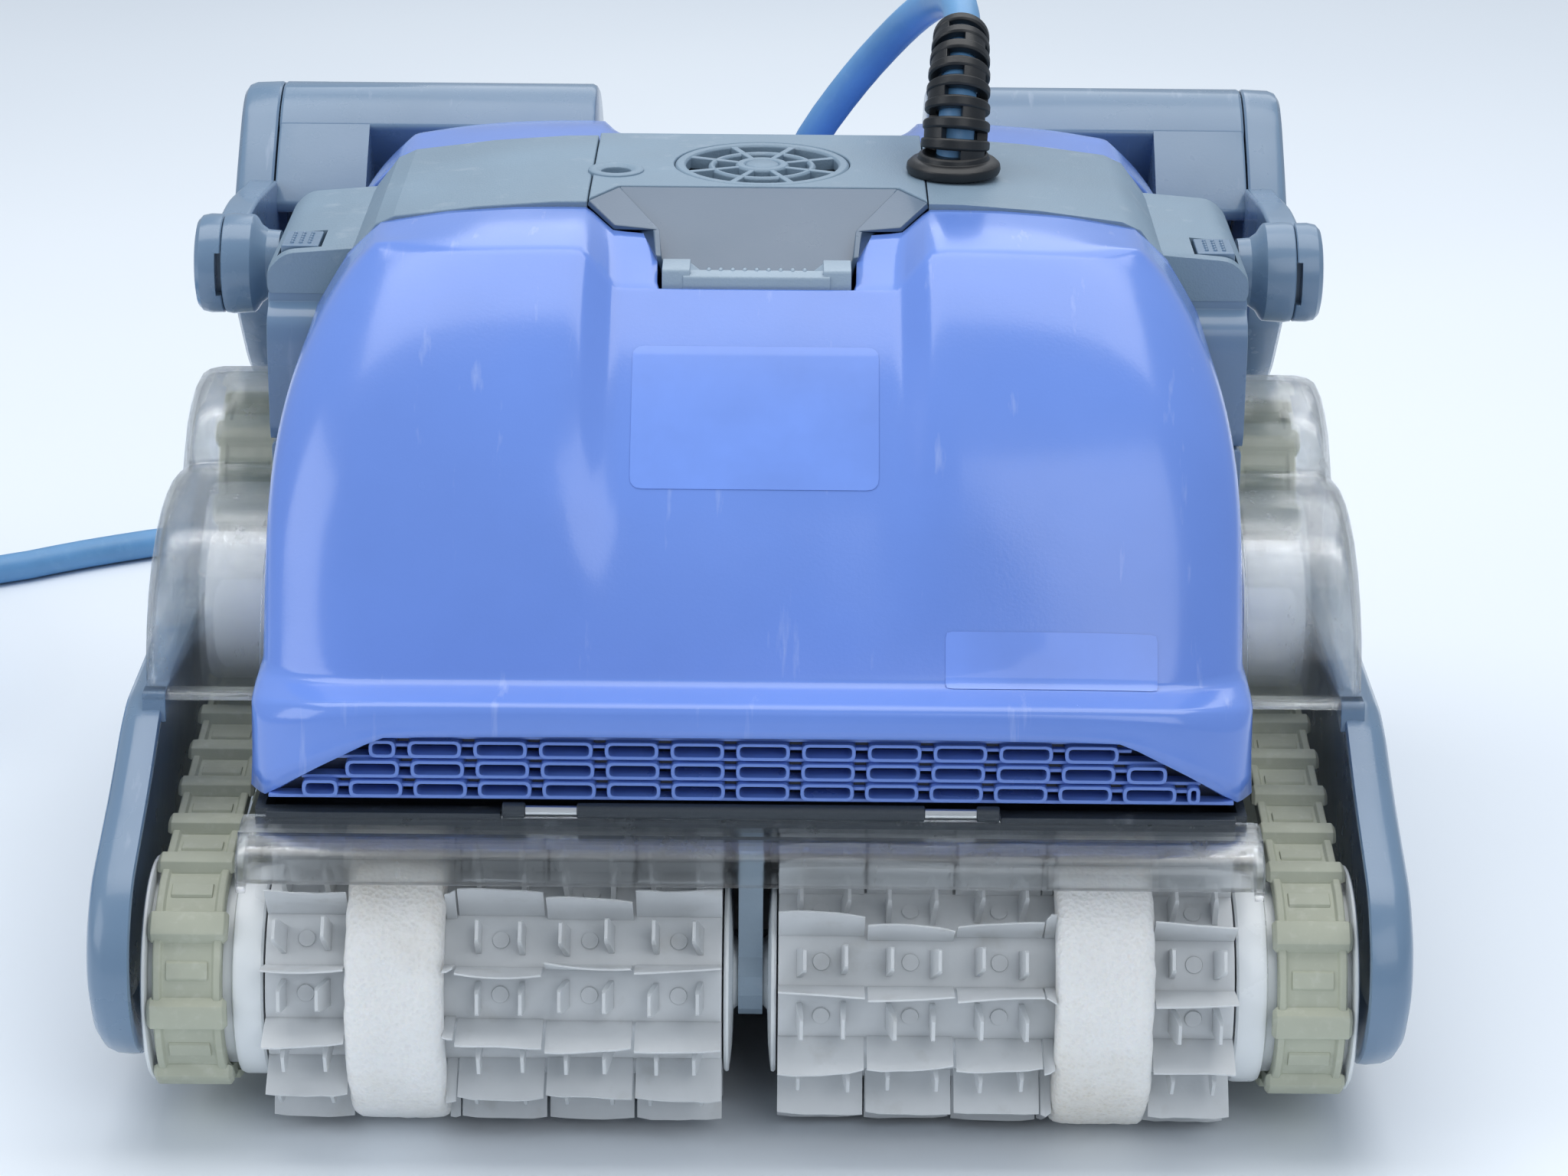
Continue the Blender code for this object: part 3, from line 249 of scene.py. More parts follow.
def filter_cloth():
    n = Nodes("filter_mesh", (0.62, 0.66, 0.70), 0.85)
    wave = n.add("ShaderNodeTexWave", Scale=520.0, bands_direction="Z")
    cross = n.add("ShaderNodeTexWave", Scale=520.0, bands_direction="X")
    n.link(n.space, wave.inputs["Vector"])
    n.link(n.space, cross.inputs["Vector"])
    n.colour(n.mix(n.ramp(n.noise(25.0, 4.0), 0.3, 0.7), (0.56, 0.60, 0.64), (0.68, 0.71, 0.74)))
    return n.bump((wave.outputs["Fac"], 0.0003, 0.5), (cross.outputs["Fac"], 0.0003, 0.5))


BLUE = (0.152, 0.278, 0.745)
SLATE = (0.148, 0.235, 0.350)
BAND = (0.205, 0.292, 0.380)
MATS = {
    "lid_plastic": gloss_plastic("lid_blue", BLUE, 0.17, wear=0.7),
    # The lid blue darkened for the lattice under the lid's edge: painted shade.
    "grille_blue_shaded": gloss_plastic("grille_blue", scaled(BLUE, 0.85), 0.3, wear=0.2),
    # Near-black blue for the plate behind the intake cups: painted shade.
    "intake_shade_blue": gloss_plastic("intake_shade_blue", scaled(BLUE, 0.10), 0.5, wear=0.1),
    "slate_plastic": gloss_plastic("slate", SLATE, 0.24, wear=0.5),
    "band_plastic": matte_plastic("band_grey", BAND, 0.46),
    # The scoop is the band's plastic darkened: painted shade for the recess it lies in.
    "trough_painted_shade": gloss_plastic("trough_grey_painted_shade", (0.085, 0.135, 0.205), 0.28, wear=0.3),
    "hull_plastic": matte_plastic("hull_dark", (0.035, 0.045, 0.058), 0.42),
    "light_plastic": matte_plastic("light_grey", (0.31, 0.40, 0.49), 0.38),
    "clear_plastic": clear_plastic(),
    "track_rubber": rubber("track_olive", (0.46, 0.48, 0.385), (0.62, 0.63, 0.57)),
    "brush_pvc": soft_pvc(),
    "ring_foam": sponge(),
    "white_plastic": white_plastic(),
    "hinge_steel": steel(),
    "filter_mesh": filter_cloth(),
    "cable_jacket": rubber("cable_blue", (0.135, 0.330, 0.60), (0.22, 0.42, 0.66), 0.42, 160.0),
    "black_rubber": rubber("relief_black", (0.008, 0.010, 0.013), (0.022, 0.025, 0.030), 0.42, 120.0),
}


# ---------------------------------------------------------------- tools
def to_world(axis, along, pair):
    """A 2-D point on the plane across an axis: X takes (y, z), Y takes (x, z), Z takes (x, y)."""
    a, b = pair
    return {"X": (along, a, b), "Y": (a, along, b), "Z": (a, b, along)}[axis]


def rings(bm, loops, cyclic=False, caps=True):
    """Join loops of equal length into a skin: capped at both ends, or closed on itself."""
    rows = [[bm.verts.new(p) for p in loop] for loop in loops]
    count = len(rows[0])
    pairs = list(zip(rows, rows[1:]))
    if cyclic:
        pairs.append((rows[-1], rows[0]))
    elif caps:
        bm.faces.new(rows[0])
        bm.faces.new(list(reversed(rows[-1])))
    for low, high in pairs:
        for i in range(count):
            j = (i + 1) % count
            bm.faces.new((low[i], low[j], high[j], high[i]))


def prism(bm, outline, axis, low, high):
    rings(bm, [[to_world(axis, at, p) for p in outline] for at in (low, high)])


def box(bm, low, high):
    outline = [(low[0], low[1]), (high[0], low[1]), (high[0], high[1]), (low[0], high[1])]
    prism(bm, outline, "Z", low[2], high[2])


def circle(radius, sides, centre=(0.0, 0.0), start=0.0):
    step = 2 * math.pi / sides
    return [(centre[0] + radius * math.cos(start + i * step),
             centre[1] + radius * math.sin(start + i * step)) for i in range(sides)]


def arc(centre, radius, start, end, steps):
    """Points on an arc, from one angle to another in degrees."""
    return [(centre[0] + radius * math.cos(math.radians(start + (end - start) * i / steps)),
             centre[1] + radius * math.sin(math.radians(start + (end - start) * i / steps)))
            for i in range(steps + 1)]


def turned(bm, profile, axis, centre, sides=64, cyclic=False):
    """Turn a profile of (place along the axis, radius) round an axis through centre."""
    rings(bm, [[to_world(axis, at, p) for p in circle(r, sides, centre)] for at, r in profile],
          cyclic)


def lean(side, profile):
    """A profile of (x, radius) on the left or right side."""
    return [(side * x, r) for x, r in profile]


def span(side, low, high):
    return (low, high) if side == RIGHT else (-high, -low)


def rounded(outline, radius, steps=4):
    """An outline with each corner rounded; radius is one number or one for each corner."""
    out = []
    count = len(outline)
    for i in range(count):
        r = radius[i] if isinstance(radius, (list, tuple)) else radius
        before, here, after = (Vector(outline[(i + k) % count]) for k in (-1, 0, 1))
        one, two = before - here, after - here
        r = min(r, one.length * 0.45, two.length * 0.45)
        if r <= 0:
            out.append(tuple(here))
            continue
        one, two = here + one.normalized() * r, here + two.normalized() * r
        for k in range(steps + 1):
            t = k / steps
            out.append(tuple(one.lerp(here, t).lerp(here.lerp(two, t), t)))
    return out


def piece(name, bm, mat, body, slot, *nodes, bevel=0.0, smooth=35, segments=2, weld=1e-6):
    """Make a bmesh into a named piece that rides on a body and replaces CAD nodes."""
    bmesh.ops.remove_doubles(bm, verts=bm.verts, dist=weld)
    bmesh.ops.recalc_face_normals(bm, faces=bm.faces)
    mesh = bpy.data.meshes.new(name)
    bm.to_mesh(mesh)
    bm.free()
    mesh.shade_smooth()
    mesh.set_sharp_from_angle(angle=math.radians(smooth))
    item = bpy.data.objects.new(name, mesh)
    mesh.materials.append(MATS[mat])
    bpy.context.collection.objects.link(item)
    if bevel:
        soften(item, bevel, segments)
    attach(item, body)
    if nodes:
        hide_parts(*nodes)
    return item


def soften(item, width, segments=2, angle=35):
    """Small rounded edges, with normals that keep the flat faces flat."""
    edge = item.modifiers.new("edges", "BEVEL")
    edge.width = width
    edge.segments = segments
    edge.limit_method = "ANGLE"
    edge.angle_limit = math.radians(angle)
    edge.harden_normals = True
    edge.use_clamp_overlap = True


def subdivide(item, levels=2):
    sub = item.modifiers.new("smooth", "SUBSURF")
    sub.levels = levels
    sub.render_levels = levels


def cut(item, name, build):
    """Take the shape that build() makes in a bmesh out of a piece, before its other modifiers."""
    bm = bmesh.new()
    build(bm)
    bmesh.ops.recalc_face_normals(bm, faces=bm.faces)
    mesh = bpy.data.meshes.new(name)
    bm.to_mesh(mesh)
    bm.free()
    tool = bpy.data.objects.new(name, mesh)
    bpy.context.collection.objects.link(tool)
    step = item.modifiers.new(name, "BOOLEAN")
    step.object = tool
    step.operation = "DIFFERENCE"
    step.solver = "EXACT"
    item.modifiers.move(len(item.modifiers) - 1, 0)
    bpy.context.view_layer.update()
    with bpy.context.temp_override(object=item, active_object=item):
        bpy.ops.object.modifier_apply(modifier=name)
    bpy.data.objects.remove(tool, do_unlink=True)
    item.data.shade_smooth()
    item.data.set_sharp_from_angle(angle=math.radians(30))


# ---------------------------------------------------------------- cable
CABLE_R = 0.0065
RELIEF_XY = (0.068, -0.007)
RELIEF_FOOT_Z = 0.2850
RELIEF_LENGTH = 0.055
RELIEF_BEND = math.radians(74)
RELIEF_LEAN = 0.003
COIL_CENTRE = (-0.500, 0.190)
COIL_MID_R = 0.117
COIL_WIDE = 5
GAP = 0.0003
CABLE_ROUTE = [                  # from the strain relief to the coil, as in the CAD
    (0.0709, 0.0518, 0.3315), (0.0680, 0.0703, 0.3296), (0.0614, 0.0921, 0.3221),
    (0.0510, 0.1109, 0.3083), (0.0355, 0.1269, 0.2865), (0.0197, 0.1365, 0.2615),
    (0.0113, 0.1470, 0.2392), (0.0052, 0.1629, 0.2172), (0.0016, 0.1843, 0.1953),
    (-0.0035, 0.2009, 0.1733),
    (-0.0100, 0.2145, 0.1460), (-0.0150, 0.2225, 0.1200), (-0.0205, 0.2310, 0.0940),
    (-0.0270, 0.2420, 0.0660), (-0.0370, 0.2570, 0.0390), (-0.0530, 0.2770, 0.0180),
    (-0.0780, 0.3020, 0.0080), (-0.1080, 0.3330, 0.0067), (-0.1420, 0.3640, 0.0067),
    (-0.1830, 0.3870, 0.0067), (-0.2270, 0.3965, 0.0067), (-0.2690, 0.3870, 0.0067),
    (-0.3100, 0.3660, 0.0067), (-0.3450, 0.3440, 0.0067), (-0.3850, 0.3340, 0.0067),
]


def relief_frame(distance):
    """Centre and direction of the strain relief at a distance along it."""
    radius = RELIEF_LENGTH / RELIEF_BEND
    angle = distance / radius
    drift = RELIEF_LEAN / RELIEF_LENGTH
    spot = Vector((RELIEF_XY[0] + drift * distance,
                   RELIEF_XY[1] + radius * (1 - math.cos(angle)),
                   RELIEF_FOOT_Z + radius * math.sin(angle)))
    return spot, Vector((drift, math.sin(angle), math.cos(angle))).normalized()


def curve_point(before, a, b, beyond, t):
    """Catmull-Rom curve between a and b."""
    return 0.5 * (2 * a + (b - before) * t + (2 * before - 5 * a + 4 * b - beyond) * t ** 2
                  + (3 * a - before - 3 * b + beyond) * t ** 3)


def smooth_path(knots, ahead, per_span):
    points = []
    for i in range(len(knots) - 1):
        a, b = knots[i], knots[i + 1]
        before = knots[i - 1] if i else a - ahead * 0.010
        beyond = knots[i + 2] if i + 2 < len(knots) else b + (b - a)
        for k in range(per_span):
            points.append(curve_point(before, a, b, beyond, k / per_span))
    points.append(knots[-1])
    return points


def coil_point(turns):
    """A point on the wound cable after a number of turns, counted from where it comes in.
    Each layer of five turns winds inwards or outwards, and the fifth climbs to the next."""
    pitch = 2 * CABLE_R
    outer = COIL_MID_R + (COIL_WIDE - 1) / 2 * pitch
    layer, within = divmod(turns, COIL_WIDE)
    step = min(within, COIL_WIDE - 1)
    climb = max(0.0, within - (COIL_WIDE - 1))
    climb = climb * climb * (3 - 2 * climb)
    inwards = step if int(layer) % 2 == 0 else COIL_WIDE - 1 - step
    radius = outer - inwards * pitch
    arriving = max(0.0, 1.0 - turns / 0.35)
    radius += (CABLE_R * 2 + GAP) * arriving * arriving
    angle = math.radians(80) + 2 * math.pi * turns
    return Vector((COIL_CENTRE[0] + radius * math.cos(angle),
                   COIL_CENTRE[1] + radius * math.sin(angle),
                   CABLE_R + 0.0002 + (layer + climb) * pitch * 0.985))


def tail_path(last, leaving, entry, reach=0.136, steps=44):
    """From the last turn, across the top of the coil and round into the plug."""
    out = []
    handles = (last, last + leaving * reach, entry - Vector((reach, 0.0, 0.0)), entry)
    for i in range(1, steps + 1):
        t = i / steps
        weights = ((1 - t) ** 3, 3 * (1 - t) ** 2 * t, 3 * (1 - t) * t * t, t ** 3)
        spot = sum((p * w for p, w in zip(handles, weights)), Vector((0, 0, 0)))
        over = min(1.0, max(0.0, (t - 0.04) / 0.40))
        rise = min(1.0, max(0.0, (t - 0.44) / 0.56))
        ease = [v * v * (3 - 2 * v) for v in (over, rise)]
        top = last.z + 2 * CABLE_R + 0.0004
        spot.z = last.z + (top - last.z) * ease[0] + (entry.z - top) * ease[1]
        out.append(spot)
    return out


def power_cord():
    start, ahead = relief_frame(RELIEF_LENGTH)
    start = start + ahead * GAP
    knots = [start, start + ahead * 0.012] + [Vector(p) for p in CABLE_ROUTE]
    turns, per_turn = 23.02, 28
    wound = [coil_point(i / per_turn) for i in range(int(turns * per_turn) + 1)]
    points = smooth_path(knots + wound[:3], ahead, 3)[:-7] + wound[1:]
    plug_low, plug_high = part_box("power_plug")
    entry = Vector((plug_low[0] - 0.001, (plug_low[1] + plug_high[1]) / 2,
                    (plug_low[2] + plug_high[2]) / 2))
    leaving = (points[-1] - points[-2]).normalized()
    points += tail_path(points[-1], leaving, entry)

    curve = bpy.data.curves.new("supply_cable", "CURVE")
    curve.dimensions = "3D"
    curve.bevel_depth = CABLE_R
    curve.bevel_resolution = 4
    curve.use_fill_caps = True
    spline = curve.splines.new("POLY")
    spline.points.add(len(points) - 1)
    for spot, point in zip(spline.points, points):
        spot.co = (*point, 1.0)
    spline.use_smooth = True
    cord = bpy.data.objects.new("supply_cable", curve)
    curve.materials.append(MATS["cable_jacket"])
    bpy.context.collection.objects.link(cord)
    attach(cord, "root")
    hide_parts("power_cord", "cord_coil")

    tie = coil_tie()
    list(mains_plug(entry))


def mains_plug(entry):
    """Round swimming-pool power connector: ribbed sleeve, body with grip flats and a collar."""
    y, z = entry.y, entry.z
    x = entry.x
    low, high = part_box("power_plug")
    profile = [(x, CABLE_R + 0.0003), (x, CABLE_R + 0.0022)]
    for k in range(5):
        at = x + 0.002 + k * 0.0045
        profile += [(at, CABLE_R + 0.0028), (at + 0.0026, CABLE_R + 0.003),
                    (at + 0.0028, CABLE_R + 0.0012), (at + 0.0040, CABLE_R + 0.0012)]
    body = x + 0.026
    profile += [(body, CABLE_R + 0.0055), (body + 0.006, 0.0160), (body + 0.010, 0.0168),
                (body + 0.022, 0.0168), (body + 0.0225, 0.0155), (body + 0.026, 0.0155),
                (body + 0.0265, 0.0168), (high[0] - 0.014, 0.0168), (high[0] - 0.0135, 0.0152),
                (high[0] - 0.003, 0.0150), (high[0] - 0.0022, 0.0142), (high[0] - 0.0022, 0.0115),
                (high[0] - 0.012, 0.0112), (high[0] - 0.0122, 0.004)]
    bm = bmesh.new()
    turned(bm, profile, "X", (y, z), 48)
    for k in range(18):
        a = 2 * math.pi * k / 18
        for at in (body + 0.011, body + 0.028):
            spot = Vector((at + 0.005, y + 0.0166 * math.cos(a), z + 0.0166 * math.sin(a)))
            bmesh.ops.create_uvsphere(bm, u_segments=8, v_segments=6, radius=0.0009,
                                      matrix=Matrix.Translation(spot) @ Matrix.Diagonal((5.0, 1, 1, 1)))
    plug = piece("supply_plug", bm, "black_rubber", "root", "black_rubber", "power_plug", bevel=0.0004)
    bm = bmesh.new()
    for a in (90, 210, 330):
        spot = (y + 0.0062 * math.cos(math.radians(a)), z + 0.0062 * math.sin(math.radians(a)))
        turned(bm, [(high[0] - 0.0121, 0.0016), (high[0] - 0.003, 0.0016), (high[0] - 0.0022, 0.0009)],
               "X", spot, 16)
    pins = piece("plug_pins", bm, "hinge_steel", "root", "hinge_steel")
    return plug, pins


def coil_tie():
    """Hook-and-loop strap that holds the wound cable together."""
    angle = math.radians(-35)
    across = Vector((math.cos(angle), math.sin(angle), 0.0))
    along = Vector((-math.sin(angle), math.cos(angle), 0.0))
    middle = Vector((*COIL_CENTRE, 0.0)) + across * COIL_MID_R
    half = COIL_WIDE * CABLE_R
    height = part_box("cord_coil")[1][2]
    outline = rounded([(-half, 0.0003), (half, 0.0003), (half, height - 0.0005),
                       (-half, height - 0.0005)], 0.006, 5)
    skin = rounded([(-half - 0.0014, 0.0001), (half + 0.0014, 0.0001), (half + 0.0014, height + 0.0009),
                    (-half - 0.0014, height + 0.0009)], 0.007, 5)
    loops = []
    for side in (-0.010, 0.010):
        loops.append([middle + across * a + along * side + Vector((0, 0, b)) for a, b in skin])
    for side in (0.010, -0.010):
        loops.append([middle + across * a + along * side + Vector((0, 0, b)) for a, b in outline])
    bm = bmesh.new()
    rings(bm, loops, cyclic=True)
    return piece("coil_strap", bm, "black_rubber", "root", "black_rubber")


power_cord()


# ---------------------------------------------------------------- lid and rear cover
LID_BASE_Z = 0.1215
BAND_EDGE_Y = 0.0473
LID_WALL = 0.0025
NOTCH_BACK_X = 0.0583
NOTCH_X = 0.0330
NOTCH_Y = 0.0930
# One entry a level from the roof down: front's (y, z), side's (half width, z), recess depth,
# recess half width, facet half width, half width of the third column
LID_LEVELS = [
    (0.0905, 0.2783, 0.1290, 0.2755, 0.0000, 0.0470, 0.0580, 0.080),
    (0.1000, 0.2712, 0.1405, 0.2645, 0.0088, 0.0470, 0.0585, 0.082),
    (0.1170, 0.2565, 0.1515, 0.2460, 0.0082, 0.0470, 0.0590, 0.084),
    (0.1370, 0.2335, 0.1585, 0.2250, 0.0062, 0.0470, 0.0590, 0.090),
    (0.1540, 0.2060, 0.1612, 0.2030, 0.0030, 0.0470, 0.0590, 0.098),
    (0.1655, 0.1800, 0.1615, 0.1790, 0.0006, 0.0470, 0.0590, 0.106),
    (0.1725, 0.1645, 0.1615, 0.1640, 0.0000, 0.0470, 0.0590, 0.112),
    (0.1770, 0.1572, 0.1615, 0.1540, 0.0000, 0.0470, 0.0590, 0.116),
    (0.1962, 0.1566, 0.1632, 0.1480, 0.0000, 0.0470, 0.0590, 0.117),
    (0.1975, 0.1470, 0.1634, 0.1215, 0.0000, 0.0470, 0.0590, 0.118),
]
CORNER_BACK = 0.036             # how far the rounded corner reaches back along the side


def lid_level(k):
    """Points of one level from the band's edge along the side, round the corner and across
    the front to the middle, on the right-hand side."""
    front_y, front_z, side_x, side_z, depth, recess_x, facet_x, third_x = LID_LEVELS[k]
    last = k == len(LID_LEVELS) - 1
    back = CORNER_BACK if k else 0.022
    side = [(side_x, BAND_EDGE_Y, side_z),
            (side_x, BAND_EDGE_Y + (front_y - back - BAND_EDGE_Y) * 0.5, side_z),
            (side_x, front_y - back, side_z)]
    corner_x, corner_y = side_x - 0.0065, front_y - 0.0125
    corner_z = side_z * 0.6 + front_z * 0.4
    bend = [(side_x - 0.0008, front_y - back * 0.55, side_z * 0.85 + front_z * 0.15),
            (corner_x, corner_y, corner_z)]
    near = side_x - 0.024
    front = [(near, front_y - 0.0016, front_z - 0.0012), (min(third_x, near - 0.008), front_y, front_z),
             (facet_x, front_y, front_z)]
    if last:
        bend = [(side_x - 0.0008, front_y - back * 0.55, LID_BASE_Z),
                (corner_x, corner_y + 0.004, LID_BASE_Z + 0.0012)]
        front = [(near, front_y - 0.001, LID_BASE_Z + 0.0135), (third_x, front_y, front_z - 0.0006),
                 (facet_x, front_y, front_z)]
    slope = Vector((front_y, front_z)) - Vector(LID_LEVELS[max(k - 1, 0)][:2])
    inwards = Vector((slope.y, -slope.x)).normalized() if slope.length else Vector((0, -1))
    sunk_y, sunk_z = front_y + inwards.x * depth, front_z + inwards.y * depth
    if k == 0:
        sunk_y, sunk_z = NOTCH_Y, 0.2655
    middle = [(recess_x, sunk_y, sunk_z), (NOTCH_X, sunk_y, sunk_z), (0.0, sunk_y, sunk_z)]
    return side + bend + front + middle


def lid_skin(bm, end, notched, crease):
    """The lid's outer skin: a roof grid and, under its edge, the walls level by level."""
    levels = [lid_level(k) for k in range(len(LID_LEVELS))]
    count = len(levels[0])
    made = {}

    def vert(key, point):
        if key not in made:
            made[key] = bm.verts.new((point[0], end * point[1], point[2]))
        return made[key]

    def wall(side, k, p):
        x, y, z = levels[k][p]
        key = ("wall", 0 if x == 0.0 else side, k, p)
        return vert(key, (side * x, y, z))

    heights = {5: 0.2795, 6: 0.2812, 7: 0.2815, 8: 0.2815, 9: 0.2815, 10: 0.2815}
    back_x = {5: 0.1060, 6: 0.083, 7: NOTCH_BACK_X, 8: NOTCH_BACK_X, 9: NOTCH_X, 10: 0.0}
    if not notched:
        back_x[8] = 0.0470
    floor = {(8, 1): (0.0490, 0.0565, 0.2757), (8, 2): (0.0475, 0.0740, 0.2705),
             (9, 1): (0.0336, 0.0586, 0.2750), (9, 2): (0.0334, 0.0740, 0.2700)}

    def roof(side, i, j):
        """Roof point: column i (4 is the side edge ... 9 the middle), row j (0 is the back)."""
        if j == 3:
            return wall(side, 0, i)
        if i == 4:
            return wall(side, 0, j)
        if notched and i == 8 and j == 0:
            i = 7
        if notched and (i, j) in floor:
            x, y, z = floor[i, j]
            return vert(("roof", side, i, j), (side * x, y, z))
        front = levels[0][i]
        t = j / 3.0
        bx = back_x[i]
        x = bx + (front[0] - bx) * t
        y = BAND_EDGE_Y + (front[1] - BAND_EDGE_Y) * t
        flat = heights[i]
        z = flat + (front[2] - flat) * t ** (3 if i < 8 else 2)
        key = ("roof", 0 if i == 10 else side, i, j)
        return vert(key, (side * x, y, z))

    sharp = bm.edges.layers.float.new("crease_edge")

    def mark(a, b, value):
        edge = bm.edges.get((a, b))
        if edge:
            edge[sharp] = value

    for side in (LEFT, RIGHT):
        for i in range(4, 10):
            if notched and i == 9:
                continue
            for j in range(3):
                if notched and i == 8 and j == 0:
                    continue
                if i == 4 and j == 2:
                    corners = [roof(side, 4, 2), wall(side, 0, 3), wall(side, 0, 4), roof(side, 5, 2)]
                    tail = [wall(side, 0, 4), roof(side, 5, 3), roof(side, 5, 2)]
                    bm.faces.new(corners)
                    bm.faces.new(tail)
                    continue
                quad = [roof(side, i, j), roof(side, i, j + 1), roof(side, i + 1, j + 1),
                        roof(side, i + 1, j)]
                bm.faces.new(list(dict.fromkeys(quad)))
        for k in range(len(levels) - 1):
            for p in range(count - 1):
                quad = [wall(side, k, p), wall(side, k + 1, p), wall(side, k + 1, p + 1),
                        wall(side, k, p + 1)]
                bm.faces.new(quad)
    bmesh.ops.recalc_face_normals(bm, faces=bm.faces)
    for side in (LEFT, RIGHT):
        for j in range(3):
            for i, value in ((7, 0.9), (8, 0.9)):
                if not (notched and i == 8 and j == 0):
                    mark(roof(side, i, j), roof(side, i, j + 1), value)
        for k in range(len(levels) - 1):
            if k < 5:
                fade = 1.0 - k / 5.0
                mark(wall(side, k, 7), wall(side, k + 1, 7), 0.85 * fade + 0.1)
                mark(wall(side, k, 8), wall(side, k + 1, 8), 0.85 * fade + 0.1)
        for k, value in ((0, 0.7), (7, 0.9), (8, 0.85), (9, 1.0)):
            for p in range(count - 1):
                mark(wall(side, k, p), wall(side, k, p + 1), value * crease)
        mark(wall(side, 0, 9), wall(side, 0, 10), 1.0)


def thicken(item, thickness):
    wall = item.modifiers.new("wall", "SOLIDIFY")
    wall.thickness = thickness
    wall.offset = -1.0
    wall.edge_crease_outer = 0.85
    wall.edge_crease_inner = 0.85
    wall.edge_crease_rim = 0.85


def shell(name, bm, mat, body, nodes, thickness=LID_WALL, levels=2):
    """A thin moulded shell: an open skin, given its wall and then smoothed."""
    mesh = bpy.data.meshes.new(name)
    bm.to_mesh(mesh)
    bm.free()
    mesh.shade_smooth()
    item = bpy.data.objects.new(name, mesh)
    mesh.materials.append(MATS[mat])
    bpy.context.collection.objects.link(item)
    thicken(item, thickness)
    subdivide(item, levels)
    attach(item, body)
    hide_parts(*nodes)
    return item


def lids():
    for end, name, node, body in ((FRONT, "lid_shell", "front_lid", "front_lid"),
                                  (REAR, "rear_cover_shell", "rear_cover", "root")):
        bm = bmesh.new()
        lid_skin(bm, end, notched=end == FRONT, crease=1.0)
        shell(name, bm, "lid_plastic", body, [node])


# ---------------------------------------------------------------- intake lattice
CELL = (0.0172, 0.0060)         # outside of one cell's rim
CELL_PITCH = 0.0207
CELL_ROW = 0.0069
CELL_LOW_Z = 0.1268
CELL_WALL = 0.0012
CELL_DEPTH = 0.0085
GRILLE_Y = 0.1935
GRILLE_ROOM = ((0.1550, 0.1235), (0.1165, 0.1480))   # half width and height, bottom and top


def half_room(z):
    (low_x, low_z), (high_x, high_z) = GRILLE_ROOM
    return low_x + (high_x - low_x) * (z - low_z) / (high_z - low_z)


def intake_lattice():
    """Three rows of rounded cups in line, joined by short webs, over a near-black plate that paints the shade
    inside the intake.
    """
    for end in (FRONT, REAR):
        word = END_WORD[end]
        body = "front_lid" if end == FRONT else "root"
        bm = bmesh.new()
        for row in range(3):
            z = CELL_LOW_Z + row * CELL_ROW
            spread = 1.0 + 0.008 * row
            for k in range(-8, 9):
                x = (k + 0.18) * CELL_PITCH * spread
                room = half_room(z + CELL[1] / 2) - 0.001
                left, right = max(x - CELL[0] / 2, -room), min(x + CELL[0] / 2, room)
                if right - left < 0.004:
                    continue
                lattice_cell(bm, end, left, right, z)
                if x + CELL_PITCH / 2 < room:
                    box(bm, *corners(end, right - 0.0004, x + CELL_PITCH * spread - CELL[0] / 2 + 0.0004,
                                     z + 0.0002, z + 0.0014, 0.0040, 0.0018))
        for row in (-0.5, 0.5, 1.5, 2.5):
            z = CELL_LOW_Z + row * CELL_ROW
            room = half_room(z)
            box(bm, *corners(end, -room, room, z - 0.0006, z + 0.0006, 0.0075, 0.0022))
        piece(word + "_intake_lattice", bm, "grille_blue_shaded", body, "lid_plastic", word + "_grille",
              bevel=0.0003, segments=2)
        # A near-black plate behind the cups: painted shade for the dark inside of the intake.
        bm = bmesh.new()
        plate = [(-0.156, 0.1225), (0.156, 0.1225), (0.119, 0.1530), (-0.119, 0.1530)]
        low, high = sorted((end * (GRILLE_Y - CELL_DEPTH - 0.001), end * (GRILLE_Y - CELL_DEPTH)))
        prism(bm, rounded(plate, 0.003), "Y", low, high)
        piece(word + "_intake_shade_plate", bm, "intake_shade_blue", body, "lid_plastic", bevel=0.0004)


def corners(end, x0, x1, z0, z1, deep, proud):
    y0, y1 = sorted((end * (GRILLE_Y - deep), end * (GRILLE_Y - proud)))
    return (x0, y0, z0), (x1, y1, z1)


def lattice_cell(bm, end, left, right, z):
    """One rounded cup of the lattice, open to the outside."""
    half = CELL[1] / 2
    outer = rounded([(left, z - half), (right, z - half), (right, z + half), (left, z + half)], 0.0022, 3)
    w = CELL_WALL
    inner = rounded([(left + w, z - half + w), (right - w, z - half + w), (right - w, z + half - w),
                     (left + w, z + half - w)], 0.0014, 3)
    deep, front = GRILLE_Y - CELL_DEPTH, GRILLE_Y
    loops = [[(x, end * deep, zz) for x, zz in outer], [(x, end * front, zz) for x, zz in outer],
             [(x, end * front, zz) for x, zz in inner], [(x, end * deep, zz) for x, zz in inner]]
    rings(bm, loops, cyclic=True)


lids()
intake_lattice()


# ---------------------------------------------------------------- top band, outlet and latch
AXLE_Y, AXLE_Z = 0.165, 0.050
BAND_Y = 0.047
BAND_SEAM_X = 0.058
OUTLET = (0.001, 0.004)
OUTLET_R = 0.031
BAND_ARCH = [                   # outer face from the middle seam down one side: (x, z)
    (0.0583, 0.2833), (0.0700, 0.2831), (0.0960, 0.2812), (0.1245, 0.2775), (0.1310, 0.2745),
    (0.1395, 0.2635), (0.1480, 0.2480), (0.1555, 0.2270), (0.1605, 0.2040), (0.1640, 0.1760),
    (0.1655, 0.1500), (0.1658, 0.1225),
]
BAND_THICK = 0.0032


def offset_line(line, depth):
    """The same open line moved inwards by a depth."""
    out = []
    for i, (x, z) in enumerate(line):
        a, b = line[max(i - 1, 0)], line[min(i + 1, len(line) - 1)]
        along = (Vector(b) - Vector(a)).normalized()
        out.append((x + along.y * depth, z - along.x * depth))
    return out


